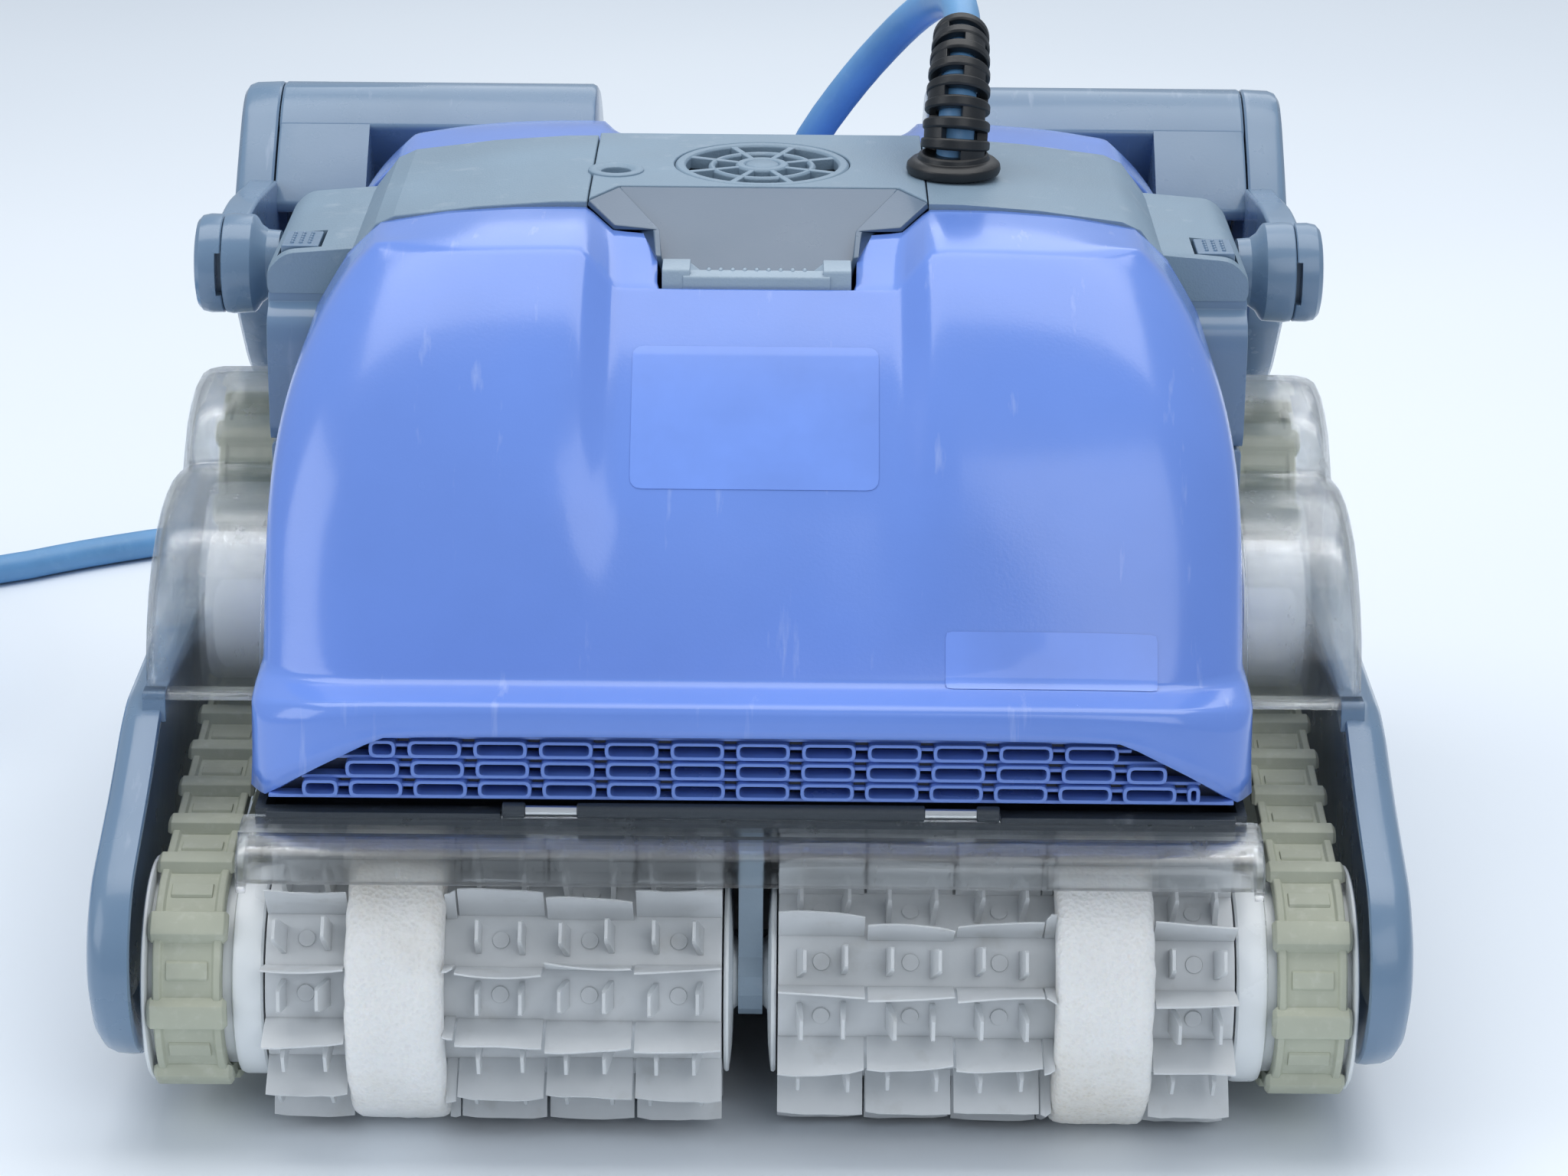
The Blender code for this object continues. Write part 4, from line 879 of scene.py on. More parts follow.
def bands():
    for side in (LEFT, RIGHT):
        word = WORD[side]
        bm = bmesh.new()
        inner = offset_line(BAND_ARCH, BAND_THICK)
        inner[0] = (BAND_ARCH[0][0], inner[0][1])
        rows = []
        for y, raise_by in ((-BAND_Y, 0.0), (-BAND_Y + 0.012, 0.0006), (BAND_Y - 0.012, 0.0006),
                            (BAND_Y, 0.0)):
            loop = [(side * x, y, z + raise_by) for x, z in BAND_ARCH]
            loop += [(side * x, y, z) for x, z in reversed(inner)]
            rows.append(loop)
        rings(bm, rows)
        item = piece("band_shell_" + word, bm, "band_plastic", "root", "band_plastic", "band_" + word,
                     bevel=0.0007, smooth=12, segments=3)
        if side == RIGHT:
            cut(item, "relief_seat", lambda b: turned(b, [(0.270, 0.0124), (0.292, 0.0124)], "Z",
                                                      RELIEF_XY, 40))
        bracket(side)


def bracket(side):
    """Stepped block on the band's flank that carries the handle's pivot, with a release button."""
    word = WORD[side]
    top = [(0.1370, 0.2600), (0.1420, 0.2480), (0.1690, 0.2480), (0.1698, 0.2500), (0.1698, 0.2560),
           (0.1640, 0.2622), (0.1370, 0.2645)]
    outline = rounded(top, [0.001, 0.001, 0.001, 0.001, 0.003, 0.004, 0.001], 4)
    bm = bmesh.new()
    rings(bm, [[(side * x, y, z - drop) for x, z in outline]
               for y, drop in ((-0.0372, 0.0012), (-0.0350, 0.0), (0.0440, 0.0))])
    block = piece("pivot_bracket_" + word, bm, "band_plastic", "root", "slate_plastic",
                  bevel=0.0009, segments=3)
    cut(block, "button_well", lambda b: box(b, (min(side * 0.1508, side * 0.1662), -0.0352, 0.2515),
                                            (max(side * 0.1508, side * 0.1662), -0.0138, 0.2700)))
    bm = bmesh.new()
    body = rounded([(0.1480, 0.2478), (0.1610, 0.1960), (0.1698, 0.1960), (0.1698, 0.2478)], 0.002, 3)
    rings(bm, [[(side * x, y, z) for x, z in body] for y in (-0.0365, 0.0440)])
    piece("pivot_block_" + word, bm, "slate_plastic", "root", "slate_plastic", bevel=0.0008, segments=3)
    bm = bmesh.new()
    step = [(-0.0368, 0.2495), (-0.0368, 0.1990), (-0.0450, 0.1960), (-0.0468, 0.2010), (-0.0468, 0.2330),
            (-0.0455, 0.2390), (-0.0415, 0.2425), (-0.0372, 0.2440)]
    rings(bm, [[(side * x, y, z) for y, z in rounded(step, [0, 0, 0.002, 0.002, 0.006, 0.005, 0.003, 0], 4)]
               for x in (0.1470, 0.1694)])
    piece("pivot_step_" + word, bm, "slate_plastic", "root", "slate_plastic", bevel=0.0010, segments=3)
    bm = bmesh.new()
    low = rounded([(0.1540, 0.1330), (0.1690, 0.1330), (0.1690, 0.1958), (0.1580, 0.1958)], 0.002, 3)
    rings(bm, [[(side * x, y, z) for x, z in low] for y in (-0.0466, 0.0430)])
    piece("band_flank_" + word, bm, "slate_plastic", "root", "slate_plastic", bevel=0.001, segments=3)
    button_low, button_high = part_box(word + "_release_button")
    bm = bmesh.new()
    box(bm, button_low, button_high)
    for i in range(3):
        for j in range(5):
            spot = Vector((button_low.x + 0.0035 + i * 0.003, button_low.y + 0.0035 + j * 0.003,
                           button_high.z))
            bmesh.ops.create_uvsphere(bm, u_segments=10, v_segments=6, radius=0.00075,
                                      matrix=Matrix.Translation(spot))
    piece("release_pad_" + word, bm, "slate_plastic", word + "_release_button", "slate_plastic",
          word + "_release_button", bevel=0.0005)


def trough_panels(bm):
    """Sloping scoop in front of the outlet: central ramp, two flanks and the lip over the latch."""
    back_z, front_z = 0.2838, 0.2635
    ramp = [(-0.048, -0.0285, back_z), (0.048, -0.0285, back_z), (0.030, -0.0735, front_z),
            (-0.030, -0.0735, front_z)]
    points = [bm.verts.new(p) for p in ramp]
    bm.faces.new(points)
    for side in (LEFT, RIGHT):
        a, b = (points[1], points[2]) if side == RIGHT else (points[0], points[3])
        outer = [bm.verts.new((side * x, y, z)) for x, y, z in
                 ((0.0577, -0.0467, 0.2836), (0.0486, -0.0562, 0.2775), (0.0330, -0.0583, 0.2765),
                  (0.0322, -0.0738, 0.2715))]
        bm.faces.new([a, outer[0], outer[1]])
        bm.faces.new([a, outer[1], outer[2]])
        bm.faces.new([a, outer[2], outer[3], b])


def outlet():
    """Middle plate of the band: scoop, round grille with rings and spokes, and a screw well."""
    bm = bmesh.new()
    top = 0.2842
    half = BAND_SEAM_X - 0.0002
    outline = [(-half, BAND_Y), (-half, -0.0467), (-0.0482, -0.0285), (0.0482, -0.0285),
               (half, -0.0467), (half, BAND_Y)]
    prism(bm, outline, "Z", top - 0.0032, top)
    plate = piece("outlet_plate", bm, "band_plastic", "root", "band_plastic", "outlet_cover",
                  bevel=0.0006, segments=3)
    cut(plate, "outlet_bore", lambda b: turned(b, [(0.275, OUTLET_R), (0.290, OUTLET_R)], "Z", OUTLET, 72))
    cut(plate, "screw_well", lambda b: turned(b, [(0.275, 0.0052), (0.290, 0.0052)], "Z",
                                              (-0.0500, -0.0080), 32))
    bm = bmesh.new()
    trough_panels(bm)
    # The scoop takes the darkened trough material: painted shade.
    wall = piece("scoop", bm, "trough_painted_shade", "root", "band_plastic")
    solid = wall.modifiers.new("wall", "SOLIDIFY")
    solid.thickness = 0.0022
    solid.offset = -1.0
    soften(wall, 0.0008)

    bm = bmesh.new()
    for r_in, r_out, z in ((0.0268, 0.0308, 0.2842), (0.0165, 0.0190, 0.2838), (0.0058, 0.0095, 0.2842)):
        profile = [(z - 0.0045, r_out), (z - 0.0008, r_out), (z, r_out - 0.0008), (z, r_in + 0.0008),
                   (z - 0.0008, r_in), (z - 0.0045, r_in)]
        turned(bm, profile, "Z", OUTLET, 72, cyclic=True)
    for k in range(8):
        a = math.radians(22.5 + 45 * k)
        ahead, across = Vector((math.cos(a), math.sin(a))), Vector((-math.sin(a), math.cos(a)))
        corners_xy = [Vector(OUTLET) + ahead * r + across * w
                      for r, w in ((0.008, -0.0010), (0.0272, -0.0013), (0.0272, 0.0013), (0.008, 0.0010))]
        prism(bm, [tuple(c) for c in corners_xy], "Z", 0.2796, 0.2838)
    turned(bm, [(0.2792, 0.0060), (0.2836, 0.0060), (0.2842, 0.0050)], "Z", OUTLET, 32)
    piece("outlet_grille", bm, "band_plastic", "root", "band_plastic", bevel=0.0004)
    bm = bmesh.new()
    profile = [(0.2600, OUTLET_R + 0.0008), (0.2806, OUTLET_R + 0.0008), (0.2806, OUTLET_R - 0.0010),
               (0.2600, OUTLET_R - 0.0030)]
    turned(bm, profile, "Z", OUTLET, 72, cyclic=True)
    piece("outlet_throat", bm, "hull_plastic", "root", "hull_plastic", bevel=0.0004)
    bm = bmesh.new()
    turned(bm, [(0.2755, 0.0098), (0.2846, 0.0098), (0.2850, 0.0092), (0.2850, 0.0070), (0.2840, 0.0054),
                (0.2755, 0.0054)], "Z", (-0.0500, -0.0080), 40, cyclic=True)
    turned(bm, [(0.2760, 0.0050), (0.2775, 0.0050), (0.2785, 0.0035)], "Z", (-0.0500, -0.0080), 24)
    piece("screw_boss", bm, "band_plastic", "root", "band_plastic", bevel=0.0003)


def latch():
    """Light grey U-shaped lid latch with a row of grip dots, between two dark slots."""
    low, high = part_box("front_latch")
    bm = bmesh.new()
    y0, y1 = low.y, high.y
    section = rounded([(y0, low.z), (y1, low.z), (y1, high.z - 0.004), (y1 - 0.004, high.z - 0.0035),
                       (y0 + 0.0045, high.z - 0.0010), (y0, high.z - 0.0022)], 0.0008, 3)
    rings(bm, [[(x, y, z) for y, z in section] for x in (-0.0245, 0.0245)])
    for side in (LEFT, RIGHT):
        horn = rounded([(y0, low.z), (y1, low.z), (y1, high.z), (y0 + 0.001, high.z)], 0.0012, 3)
        ends = sorted((side * 0.0222, side * 0.0315))
        rings(bm, [[(x, y, z) for y, z in horn] for x in ends])
        wedge = [(y0 + 0.002, high.z - 0.0020), (y1 - 0.001, high.z - 0.0045), (y1 - 0.001, high.z - 0.0005),
                 (y0 + 0.002, high.z - 0.0005)]
        rings(bm, [[(side * 0.0175, y, low.z + 0.004) for y, z in wedge],
                   [(side * 0.0230, y, z) for y, z in wedge]])
    for i in range(9):
        for j in range(2):
            spot = Vector((-0.016 + i * 0.004, y0 + 0.0045 + j * 0.0042, high.z - 0.0014 - j * 0.0008))
            bmesh.ops.create_uvsphere(bm, u_segments=10, v_segments=6, radius=0.0008,
                                      matrix=Matrix.Translation(spot))
    piece("latch_tab", bm, "light_plastic", "front_latch", "light_plastic", "front_latch",
          bevel=0.0004, segments=2)


bands()
outlet()
latch()


# ---------------------------------------------------------------- handle and floats
PIVOT = (0.015, 0.243)
FLOAT_REAR = [(0.1845, 0.1648), (0.203, 0.1665), (0.212, 0.182), (0.206, 0.225), (0.190, 0.257),
              (0.168, 0.273), (0.145, 0.2796), (0.136, 0.279), (0.126, 0.274)]
REAR_ROUND = [0.003, 0.008, 0.012, 0.02, 0.02, 0.012, 0.006, 0.006, 0.008]
FLOAT_LINE = rounded(FLOAT_REAR + [(0.119, 0.268), (0.134, 0.2475), (0.1545, 0.2175), (0.170, 0.189),
                                   (0.180, 0.1695)], REAR_ROUND + [0.002, 0.01, 0.01, 0.01, 0.004], 5)
NOSE_LINE = rounded(FLOAT_REAR[4:] + [(0.108, 0.259), (0.0935, 0.244), (0.0945, 0.2405), (0.150, 0.2340),
                                      (0.185, 0.2340)],
                    REAR_ROUND[4:] + [0.01, 0.003, 0.002, 0.004, 0.004], 5)
CAP_LINE = rounded(FLOAT_REAR + [(0.108, 0.259), (0.0935, 0.244), (0.088, 0.233), (0.0865, 0.218),
                                 (0.0871, 0.2028), (0.1161, 0.1727), (0.135, 0.161)],
                   REAR_ROUND + [0.01, 0.008, 0.008, 0.008, 0.008, 0.012, 0.008], 5)


def shrunk(outline, by):
    """An outline moved towards its own centre by a distance, for the crown of an end."""
    centre = sum((Vector(p) for p in outline), Vector((0, 0))) / len(outline)
    out = []
    for p in outline:
        away = Vector(p) - centre
        out.append(tuple(centre + away * (1 - by / max(away.length, 1e-6))))
    return out


def floats():
    for side in (LEFT, RIGHT):
        word = WORD[side]
        bm = bmesh.new()
        steps = [(0.0632, 0.0022), (0.0638, 0.0008), (0.0652, 0.0), (0.1825, 0.0), (0.1834, 0.0006)]
        rings(bm, [[(side * x, y, z) for y, z in shrunk(FLOAT_LINE, by)] for x, by in steps])
        steps = [(0.1490, 0.0002), (0.1823, 0.0002), (0.1832, 0.0008)]
        rings(bm, [[(side * x, y, z) for y, z in shrunk(NOSE_LINE, by)] for x, by in steps])
        piece("float_body_" + word, bm, "slate_plastic", "handle", "slate_plastic", "float_" + word,
              smooth=32)
        bm = bmesh.new()
        steps = [(0.1840, 0.0006), (0.1848, 0.0), (0.1945, 0.0004), (0.1970, 0.0014), (0.1984, 0.0034),
                 (0.1989, 0.0070)]
        rings(bm, [[(side * x, y, z) for y, z in shrunk(CAP_LINE, by)] for x, by in steps])
        piece("float_end_" + word, bm, "slate_plastic", "handle", "slate_plastic", "float_cap_" + word,
              smooth=32)
        arm(side)
    bm = bmesh.new()
    profile = [(-0.0625, 0.0120), (-0.0600, 0.0112), (-0.0440, 0.0106), (0.0440, 0.0106), (0.0600, 0.0112),
               (0.0625, 0.0120)]
    turned(bm, profile, "X", (0.178, 0.235), 40)
    for k in range(-7, 8):
        turned(bm, [(k * 0.005 - 0.0012, 0.0106), (k * 0.005, 0.0113), (k * 0.005 + 0.0012, 0.0106)], "X",
               (0.178, 0.235), 40)
    piece("grip", bm, "slate_plastic", "handle", "slate_plastic", "grip_bar", smooth=50)


def arm(side):
    """Flat arm from the pivot boss to the float, and the boss itself."""
    word = WORD[side]
    outline = [(0.015, 0.2600), (0.040, 0.2600), (0.070, 0.2560), (0.1000, 0.2520), (0.1000, 0.2180),
               (0.060, 0.2240), (0.040, 0.2290), (0.015, 0.2260)]
    bm = bmesh.new()
    ring = rounded(outline, [0.002, 0.02, 0.02, 0.003, 0.003, 0.02, 0.02, 0.002], 4)
    rings(bm, [[(side * x, y, z) for y, z in ring] for x in (0.1822, 0.1930)])
    piece("arm_" + word, bm, "slate_plastic", "handle", "slate_plastic", "handle_arm_" + word, bevel=0.0018,
          segments=3)
    boss = [(0.1710, 0.0118), (0.1755, 0.0122), (0.1780, 0.0140), (0.1796, 0.0166), (0.1806, 0.0175),
            (0.1880, 0.0180), (0.1904, 0.0176), (0.1908, 0.0171)]
    bm = bmesh.new()
    turned(bm, lean(side, boss), "X", PIVOT, 64)
    socket = piece("pivot_boss_" + word, bm, "slate_plastic", "handle", "slate_plastic", smooth=28)
    well = span(side, 0.1700, 0.1912)
    cut(socket, "pivot_well", lambda b: turned(b, [(well[0], 0.0064), (well[1], 0.0064)], "X", PIVOT, 32))
    knob = [(0.1706, 0.0060), (0.1911, 0.0060), (0.1911, 0.0171), (0.1915, 0.0176), (0.1960, 0.0177),
            (0.1988, 0.0171), (0.2003, 0.0155), (0.2009, 0.0128), (0.2009, 0.0110), (0.2002, 0.0100)]
    bm = bmesh.new()
    turned(bm, lean(side, knob), "X", PIVOT, 64)
    item = piece("lock_knob_cap_" + word, bm, "slate_plastic", "lock_knob_" + word, "slate_plastic",
                 "lock_knob_" + word, smooth=40)
    low, high = span(side, 0.1905, 0.1930)
    cut(item, "index_slot", lambda b: box(b, (low, PIVOT[0] - 0.0200, PIVOT[1] - 0.0078),
                                          (high, PIVOT[0] - 0.0100, PIVOT[1] + 0.0078)))


floats()


# ---------------------------------------------------------------- side panels, covers, guards
PANEL_LINE = rounded([(-0.110, 0.127), (-0.122, 0.1238), (-0.150, 0.110), (-0.196, 0.0925), (-0.209, 0.077),
                      (-0.2125, 0.060), (-0.205, 0.041), (-0.188, 0.028), (-0.172, 0.026), (0.172, 0.026),
                      (0.188, 0.028), (0.205, 0.041), (0.2125, 0.060), (0.209, 0.077), (0.196, 0.0925),
                      (0.150, 0.110), (0.122, 0.1238), (0.110, 0.127)],
                     [0.004, 0.004, 0.02, 0.02, 0.01, 0.01, 0.01, 0.008, 0.006, 0.006, 0.008, 0.01,
                     0.01, 0.01,
                      0.02, 0.02, 0.004, 0.004], 4)


def drawn_in(outline, by, half=(0.2125, 0.0505), centre=(0.0, 0.0765)):
    """An outline drawn in by the same distance at its ends, top and bottom."""
    return [(centre[0] + (y - centre[0]) * (1 - by / half[0]),
             centre[1] + (z - centre[1]) * (1 - by / half[1]))
            for y, z in outline]


def side_panels():
    steps = [(0.2000, 0.0035), (0.1999, 0.0012), (0.2004, 0.0002), (0.2030, 0.0), (0.2080, 0.0004),
             (0.2112, 0.0016), (0.2134, 0.0042), (0.2146, 0.0085), (0.2150, 0.0150), (0.2150, 0.0330)]
    groove = [(0.2150, 0.0150), (0.2143, 0.0158), (0.2143, 0.0172), (0.2150, 0.0180), (0.2150, 0.0330)]
    inside = [(0.2122, 0.0330), (0.2122, 0.0120), (0.2100, 0.0060), (0.2050, 0.0045)]
    for side in (LEFT, RIGHT):
        word = WORD[side]
        bm = bmesh.new()
        outer = steps[:-2] + groove
        loops = [[(side * x, y, z) for y, z in drawn_in(PANEL_LINE, by)] for x, by in
                 list(reversed(inside)) + [(0.2002, 0.0044)] + outer]
        rings(bm, loops)
        piece("side_shell_" + word, bm, "slate_plastic", "root", "slate_plastic", "side_panel_" + word,
              smooth=40)
        bm = bmesh.new()
        for end in (FRONT, REAR):
            for z in (0.050,):
                turned(bm, lean(side, [(0.2140, 0.0120), (0.2152, 0.0120), (0.2152, 0.0104), (0.2146, 0.0098),
                                       (0.2146, 0.0042), (0.2140, 0.0030)]), "X", (end * AXLE_Y, z), 48)
        piece("axle_caps_" + word, bm, "slate_plastic", "root", "slate_plastic", bevel=0.0003)
        hooks(side)


def hooks(side):
    """Clips that hang each panel's upper arms on the clear cover's foot."""
    bm = bmesh.new()
    for end, y in ((FRONT, -0.113), (REAR, 0.119)):
        outline = rounded([(y - 0.008, 0.1195), (y + 0.008, 0.1235), (y + 0.008, 0.1300),
                           (y - 0.006, 0.1300)],
                          0.0015, 3)
        rings(bm, [[(side * x, yy, z) for yy, z in outline] for x in (0.1985, 0.2065)])
    piece("panel_clips_" + WORD[side], bm, "slate_plastic", "root", "slate_plastic", bevel=0.0006)


COVER_LINE = [(-0.1165, 0.1285), (-0.1158, 0.1340), (-0.1140, 0.1420), (-0.1100, 0.1510), (-0.1030, 0.1605),
              (-0.0930, 0.1690), (-0.0800, 0.1760), (-0.0660, 0.1798), (-0.0520, 0.1812), (-0.0380, 0.1811),
              (-0.0250, 0.1792), (-0.0130, 0.1765), (-0.0095, 0.1775), (-0.0050, 0.1825), (0.0040, 0.1900),
              (0.0160, 0.1945), (0.0290, 0.1966), (0.0420, 0.1962), (0.0540, 0.1915), (0.0680, 0.1820),
              (0.0850, 0.1690), (0.1030, 0.1570), (0.1200, 0.1475), (0.1240, 0.1450), (0.1245, 0.1285)]


def track_covers():
    """Clear domes over the idler and the drive pulley, with a turned-out foot."""
    foot, middle = 0.1285, 0.004
    for side in (LEFT, RIGHT):
        word = WORD[side]
        bm = bmesh.new()
        steps = [(0.1668, 1.0), (0.1760, 1.0), (0.1900, 1.0), (0.1975, 0.998), (0.2020, 0.985),
                 (0.2046, 0.962),
                 (0.2057, 0.935), (0.2060, 0.90), (0.2061, 0.70)]
        rows = []
        for x, share in steps:
            rows.append([bm.verts.new((side * x, middle + (y - middle) * (1 - (1 - share) * 0.45),
                                       foot + (z - foot) * share)) for y, z in COVER_LINE])
        for a, b in zip(rows, rows[1:]):
            for i in range(len(a) - 1):
                bm.faces.new((a[i], a[i + 1], b[i + 1], b[i]))
        bm.faces.new(rows[-1])
        bmesh.ops.recalc_face_normals(bm, faces=bm.faces)
        item = piece("clear_cover_" + word, bm, "clear_plastic", "root", "clear_plastic",
                     "track_cover_" + word, smooth=50)
        outwards = item.data.polygons[len(COVER_LINE)].normal.z > 0
        wall = item.modifiers.new("wall", "SOLIDIFY")
        wall.thickness = 0.0019
        wall.offset = -1.0 if outwards else 1.0
        soften(item, 0.0004)
        bm = bmesh.new()
        lip = rounded([(-0.1200, 0.1276), (-0.1120, 0.1276), (-0.1120, 0.1300), (-0.1200, 0.1300)], 0.0008, 3)
        rings(bm, [[(side * x, y, z) for y, z in lip] for x in (0.1672, 0.2062)])
        piece("cover_foot_" + word, bm, "clear_plastic", "root", "clear_plastic", smooth=50)


def guards():
    """Clear visors over the brushes, with a thick rolled lip, a stiffening rib and end tabs."""
    line = [(-0.1894, 0.1160), (-0.1945, 0.1164), (-0.2010, 0.1152), (-0.2030, 0.1160), (-0.2042, 0.1160),
            (-0.2052, 0.1144), (-0.2110, 0.1124), (-0.2134, 0.1108), (-0.2147, 0.1080), (-0.2153, 0.1050),
            (-0.2150, 0.1030), (-0.2136, 0.1022), (-0.2124, 0.1032), (-0.2121, 0.1062), (-0.2112, 0.1090),
            (-0.2090, 0.1104), (-0.2045, 0.1120), (-0.1945, 0.1142), (-0.1894, 0.1138)]
    for end in (FRONT, REAR):
        word = END_WORD[end]
        bm = bmesh.new()
        stations = [(-0.1640, 0.0020), (-0.1632, 0.0004), (-0.1615, 0.0), (0.1615, 0.0), (0.1632, 0.0004),
                    (0.1640, 0.0020)]
        rings(bm, [[(x, -end * (y + by if y < -0.2 else y), z - by * 0.4) for y, z in line]
                   for x, by in stations])
        for side in (LEFT, RIGHT):
            tab = rounded([(-0.1990, 0.1135), (-0.2125, 0.1085), (-0.2138, 0.1020), (-0.2118, 0.0975),
                           (-0.2070, 0.0990), (-0.2000, 0.1060)], 0.0018, 3)
            ends = sorted((side * 0.1612, side * 0.1640))
            rings(bm, [[(x, -end * y, z) for y, z in tab] for x in ends])
        piece(word + "_visor", bm, "clear_plastic", "root", "clear_plastic", word + "_guard", smooth=40)


side_panels()
track_covers()
guards()


# ---------------------------------------------------------------- tracks, wheels and rollers
TRACK_IN_X, TRACK_WIDTH = 0.170, 0.026
BELT_R = 0.032
BELT_THICK = 0.004
LUG_HEIGHT = 0.004
LUG_LENGTH = 0.009
LUG_PITCH = 0.026
ROLLER_Y, ROLLER_Z, ROLLER_R = -0.038, 0.132, 0.026
PULLEY_Y, PULLEY_Z = 0.028, 0.149
RUN = 0.0006


def belt_wheels():
    """Wheels that the belt's inner face wraps, rear to front along the floor, as
    (y, z, radius). The idler presses from outside, so its radius is negative."""
    press = -(ROLLER_R + BELT_THICK + LUG_HEIGHT + RUN)
    return [(AXLE_Y, AXLE_Z, BELT_R), (PULLEY_Y, PULLEY_Z, BELT_R),
            (ROLLER_Y, ROLLER_Z, press), (-AXLE_Y, AXLE_Z, BELT_R)]


def belt_path():
    """The belt's inner face as pieces: (kind, start, end, centre, radius), anticlockwise."""
    wheels = belt_wheels()
    headings = []
    for here, there in zip(wheels, wheels[1:] + wheels[:1]):
        d = Vector((there[0] - here[0], there[1] - here[1]))
        bend = math.asin((there[2] - here[2]) / d.length)
        headings.append(math.atan2(d.y, d.x) - bend)
    pieces = []
    count = len(wheels)
    for i, (y, z, radius) in enumerate(wheels):
        into, out = headings[i - 1], headings[i]
        turn = (out - into + math.pi) % (2 * math.pi) - math.pi
        if radius > 0 and turn < 0:
            turn += 2 * math.pi
        pieces.append(("arc", y, z, radius, into, turn))
        after = wheels[(i + 1) % count]
        normal = Vector((-math.sin(out), math.cos(out)))
        start = Vector((y, z)) - normal * radius
        end = Vector((after[0], after[1])) - normal * after[2]
        pieces.append(("line", start, end, out))
    return pieces


def belt_length():
    return sum(abs(p[3] * p[5]) if p[0] == "arc" else (p[2] - p[1]).length for p in belt_path())


def belt_point(distance, outwards):
    """A point at a distance along the belt, moved out from its inner face."""
    pieces = belt_path()
    distance %= belt_length()
    for piece in pieces:
        size = abs(piece[3] * piece[5]) if piece[0] == "arc" else (piece[2] - piece[1]).length
        if distance <= size:
            break
        distance -= size
    if piece[0] == "line":
        heading = piece[3]
        spot = piece[1].lerp(piece[2], distance / size)
    else:
        _, y, z, radius, into, turn = piece
        heading = into + turn * distance / size
        spot = Vector((y, z)) - Vector((-math.sin(heading), math.cos(heading))) * radius
    normal = Vector((-math.sin(heading), math.cos(heading)))
    return tuple(spot - normal * outwards)


def tracks():
    """Rubber belts: a ribbed band with side rims, and broad bevelled lugs with rounded ends."""
    count = round(belt_length() / LUG_PITCH)
    pitch = belt_length() / count
    for side in (LEFT, RIGHT):
        low, high = span(side, TRACK_IN_X, TRACK_IN_X + TRACK_WIDTH)
        bm = bmesh.new()
        section = [(low + 0.0018, 0.0), (high - 0.0018, 0.0), (high - 0.0018, 0.0050),
                   (high - 0.0023, 0.0054),
                   (high - 0.0042, 0.0054), (high - 0.0050, 0.0041), (low + 0.0050, 0.0041),
                   (low + 0.0042, 0.0054), (low + 0.0023, 0.0054), (low + 0.0018, 0.0050)]
        stations = count * 8
        loops = []
        for i in range(stations):
            at = i * pitch / 8
            loops.append([(x, *belt_point(at, max(out, 0.0002))) for x, out in section])
        rings(bm, loops, cyclic=True)
        for k in range(count):
            start = k * pitch
            lug(bm, start, low, high)
            tread(bm, start + LUG_LENGTH + 0.0055, start + LUG_LENGTH + 0.0115, low + 0.0062, high - 0.0062)
        piece("tread_" + WORD[side], bm, "track_rubber", "root", "track_rubber", "track_" + WORD[side],
              bevel=0.0006, segments=2, smooth=32)


def lug(bm, start, low, high):
    top = BELT_THICK + LUG_HEIGHT - 0.0001
    end = start + LUG_LENGTH
    full = [(start - 0.0006, 0.0040), (start + 0.0012, top - 0.0003), (start + 0.0022, top),
            (end - 0.0022, top), (end - 0.0012, top - 0.0003), (end + 0.0006, 0.0040)]
    small = [(start + 0.0006, 0.0040), (start + 0.0020, top - 0.0016), (start + 0.0028, top - 0.0014),
             (end - 0.0028, top - 0.0014), (end - 0.0020, top - 0.0016), (end - 0.0006, 0.0040)]
    loops = []
    for x, line in ((low, small), (low + 0.0012, full), (high - 0.0012, full), (high, small)):
        loops.append([(x, *belt_point(at, out)) for at, out in line])
    rings(bm, loops)


def tread(bm, start, end, low, high):
    """A low pad between two lugs."""
    loops = []
    for x in (low, high):
        loops.append([(x, *belt_point(at, out)) for at, out in
                      ((start, 0.0040), (start + 0.0008, 0.0049), (end - 0.0008, 0.0049), (end, 0.0040))])
    rings(bm, loops)


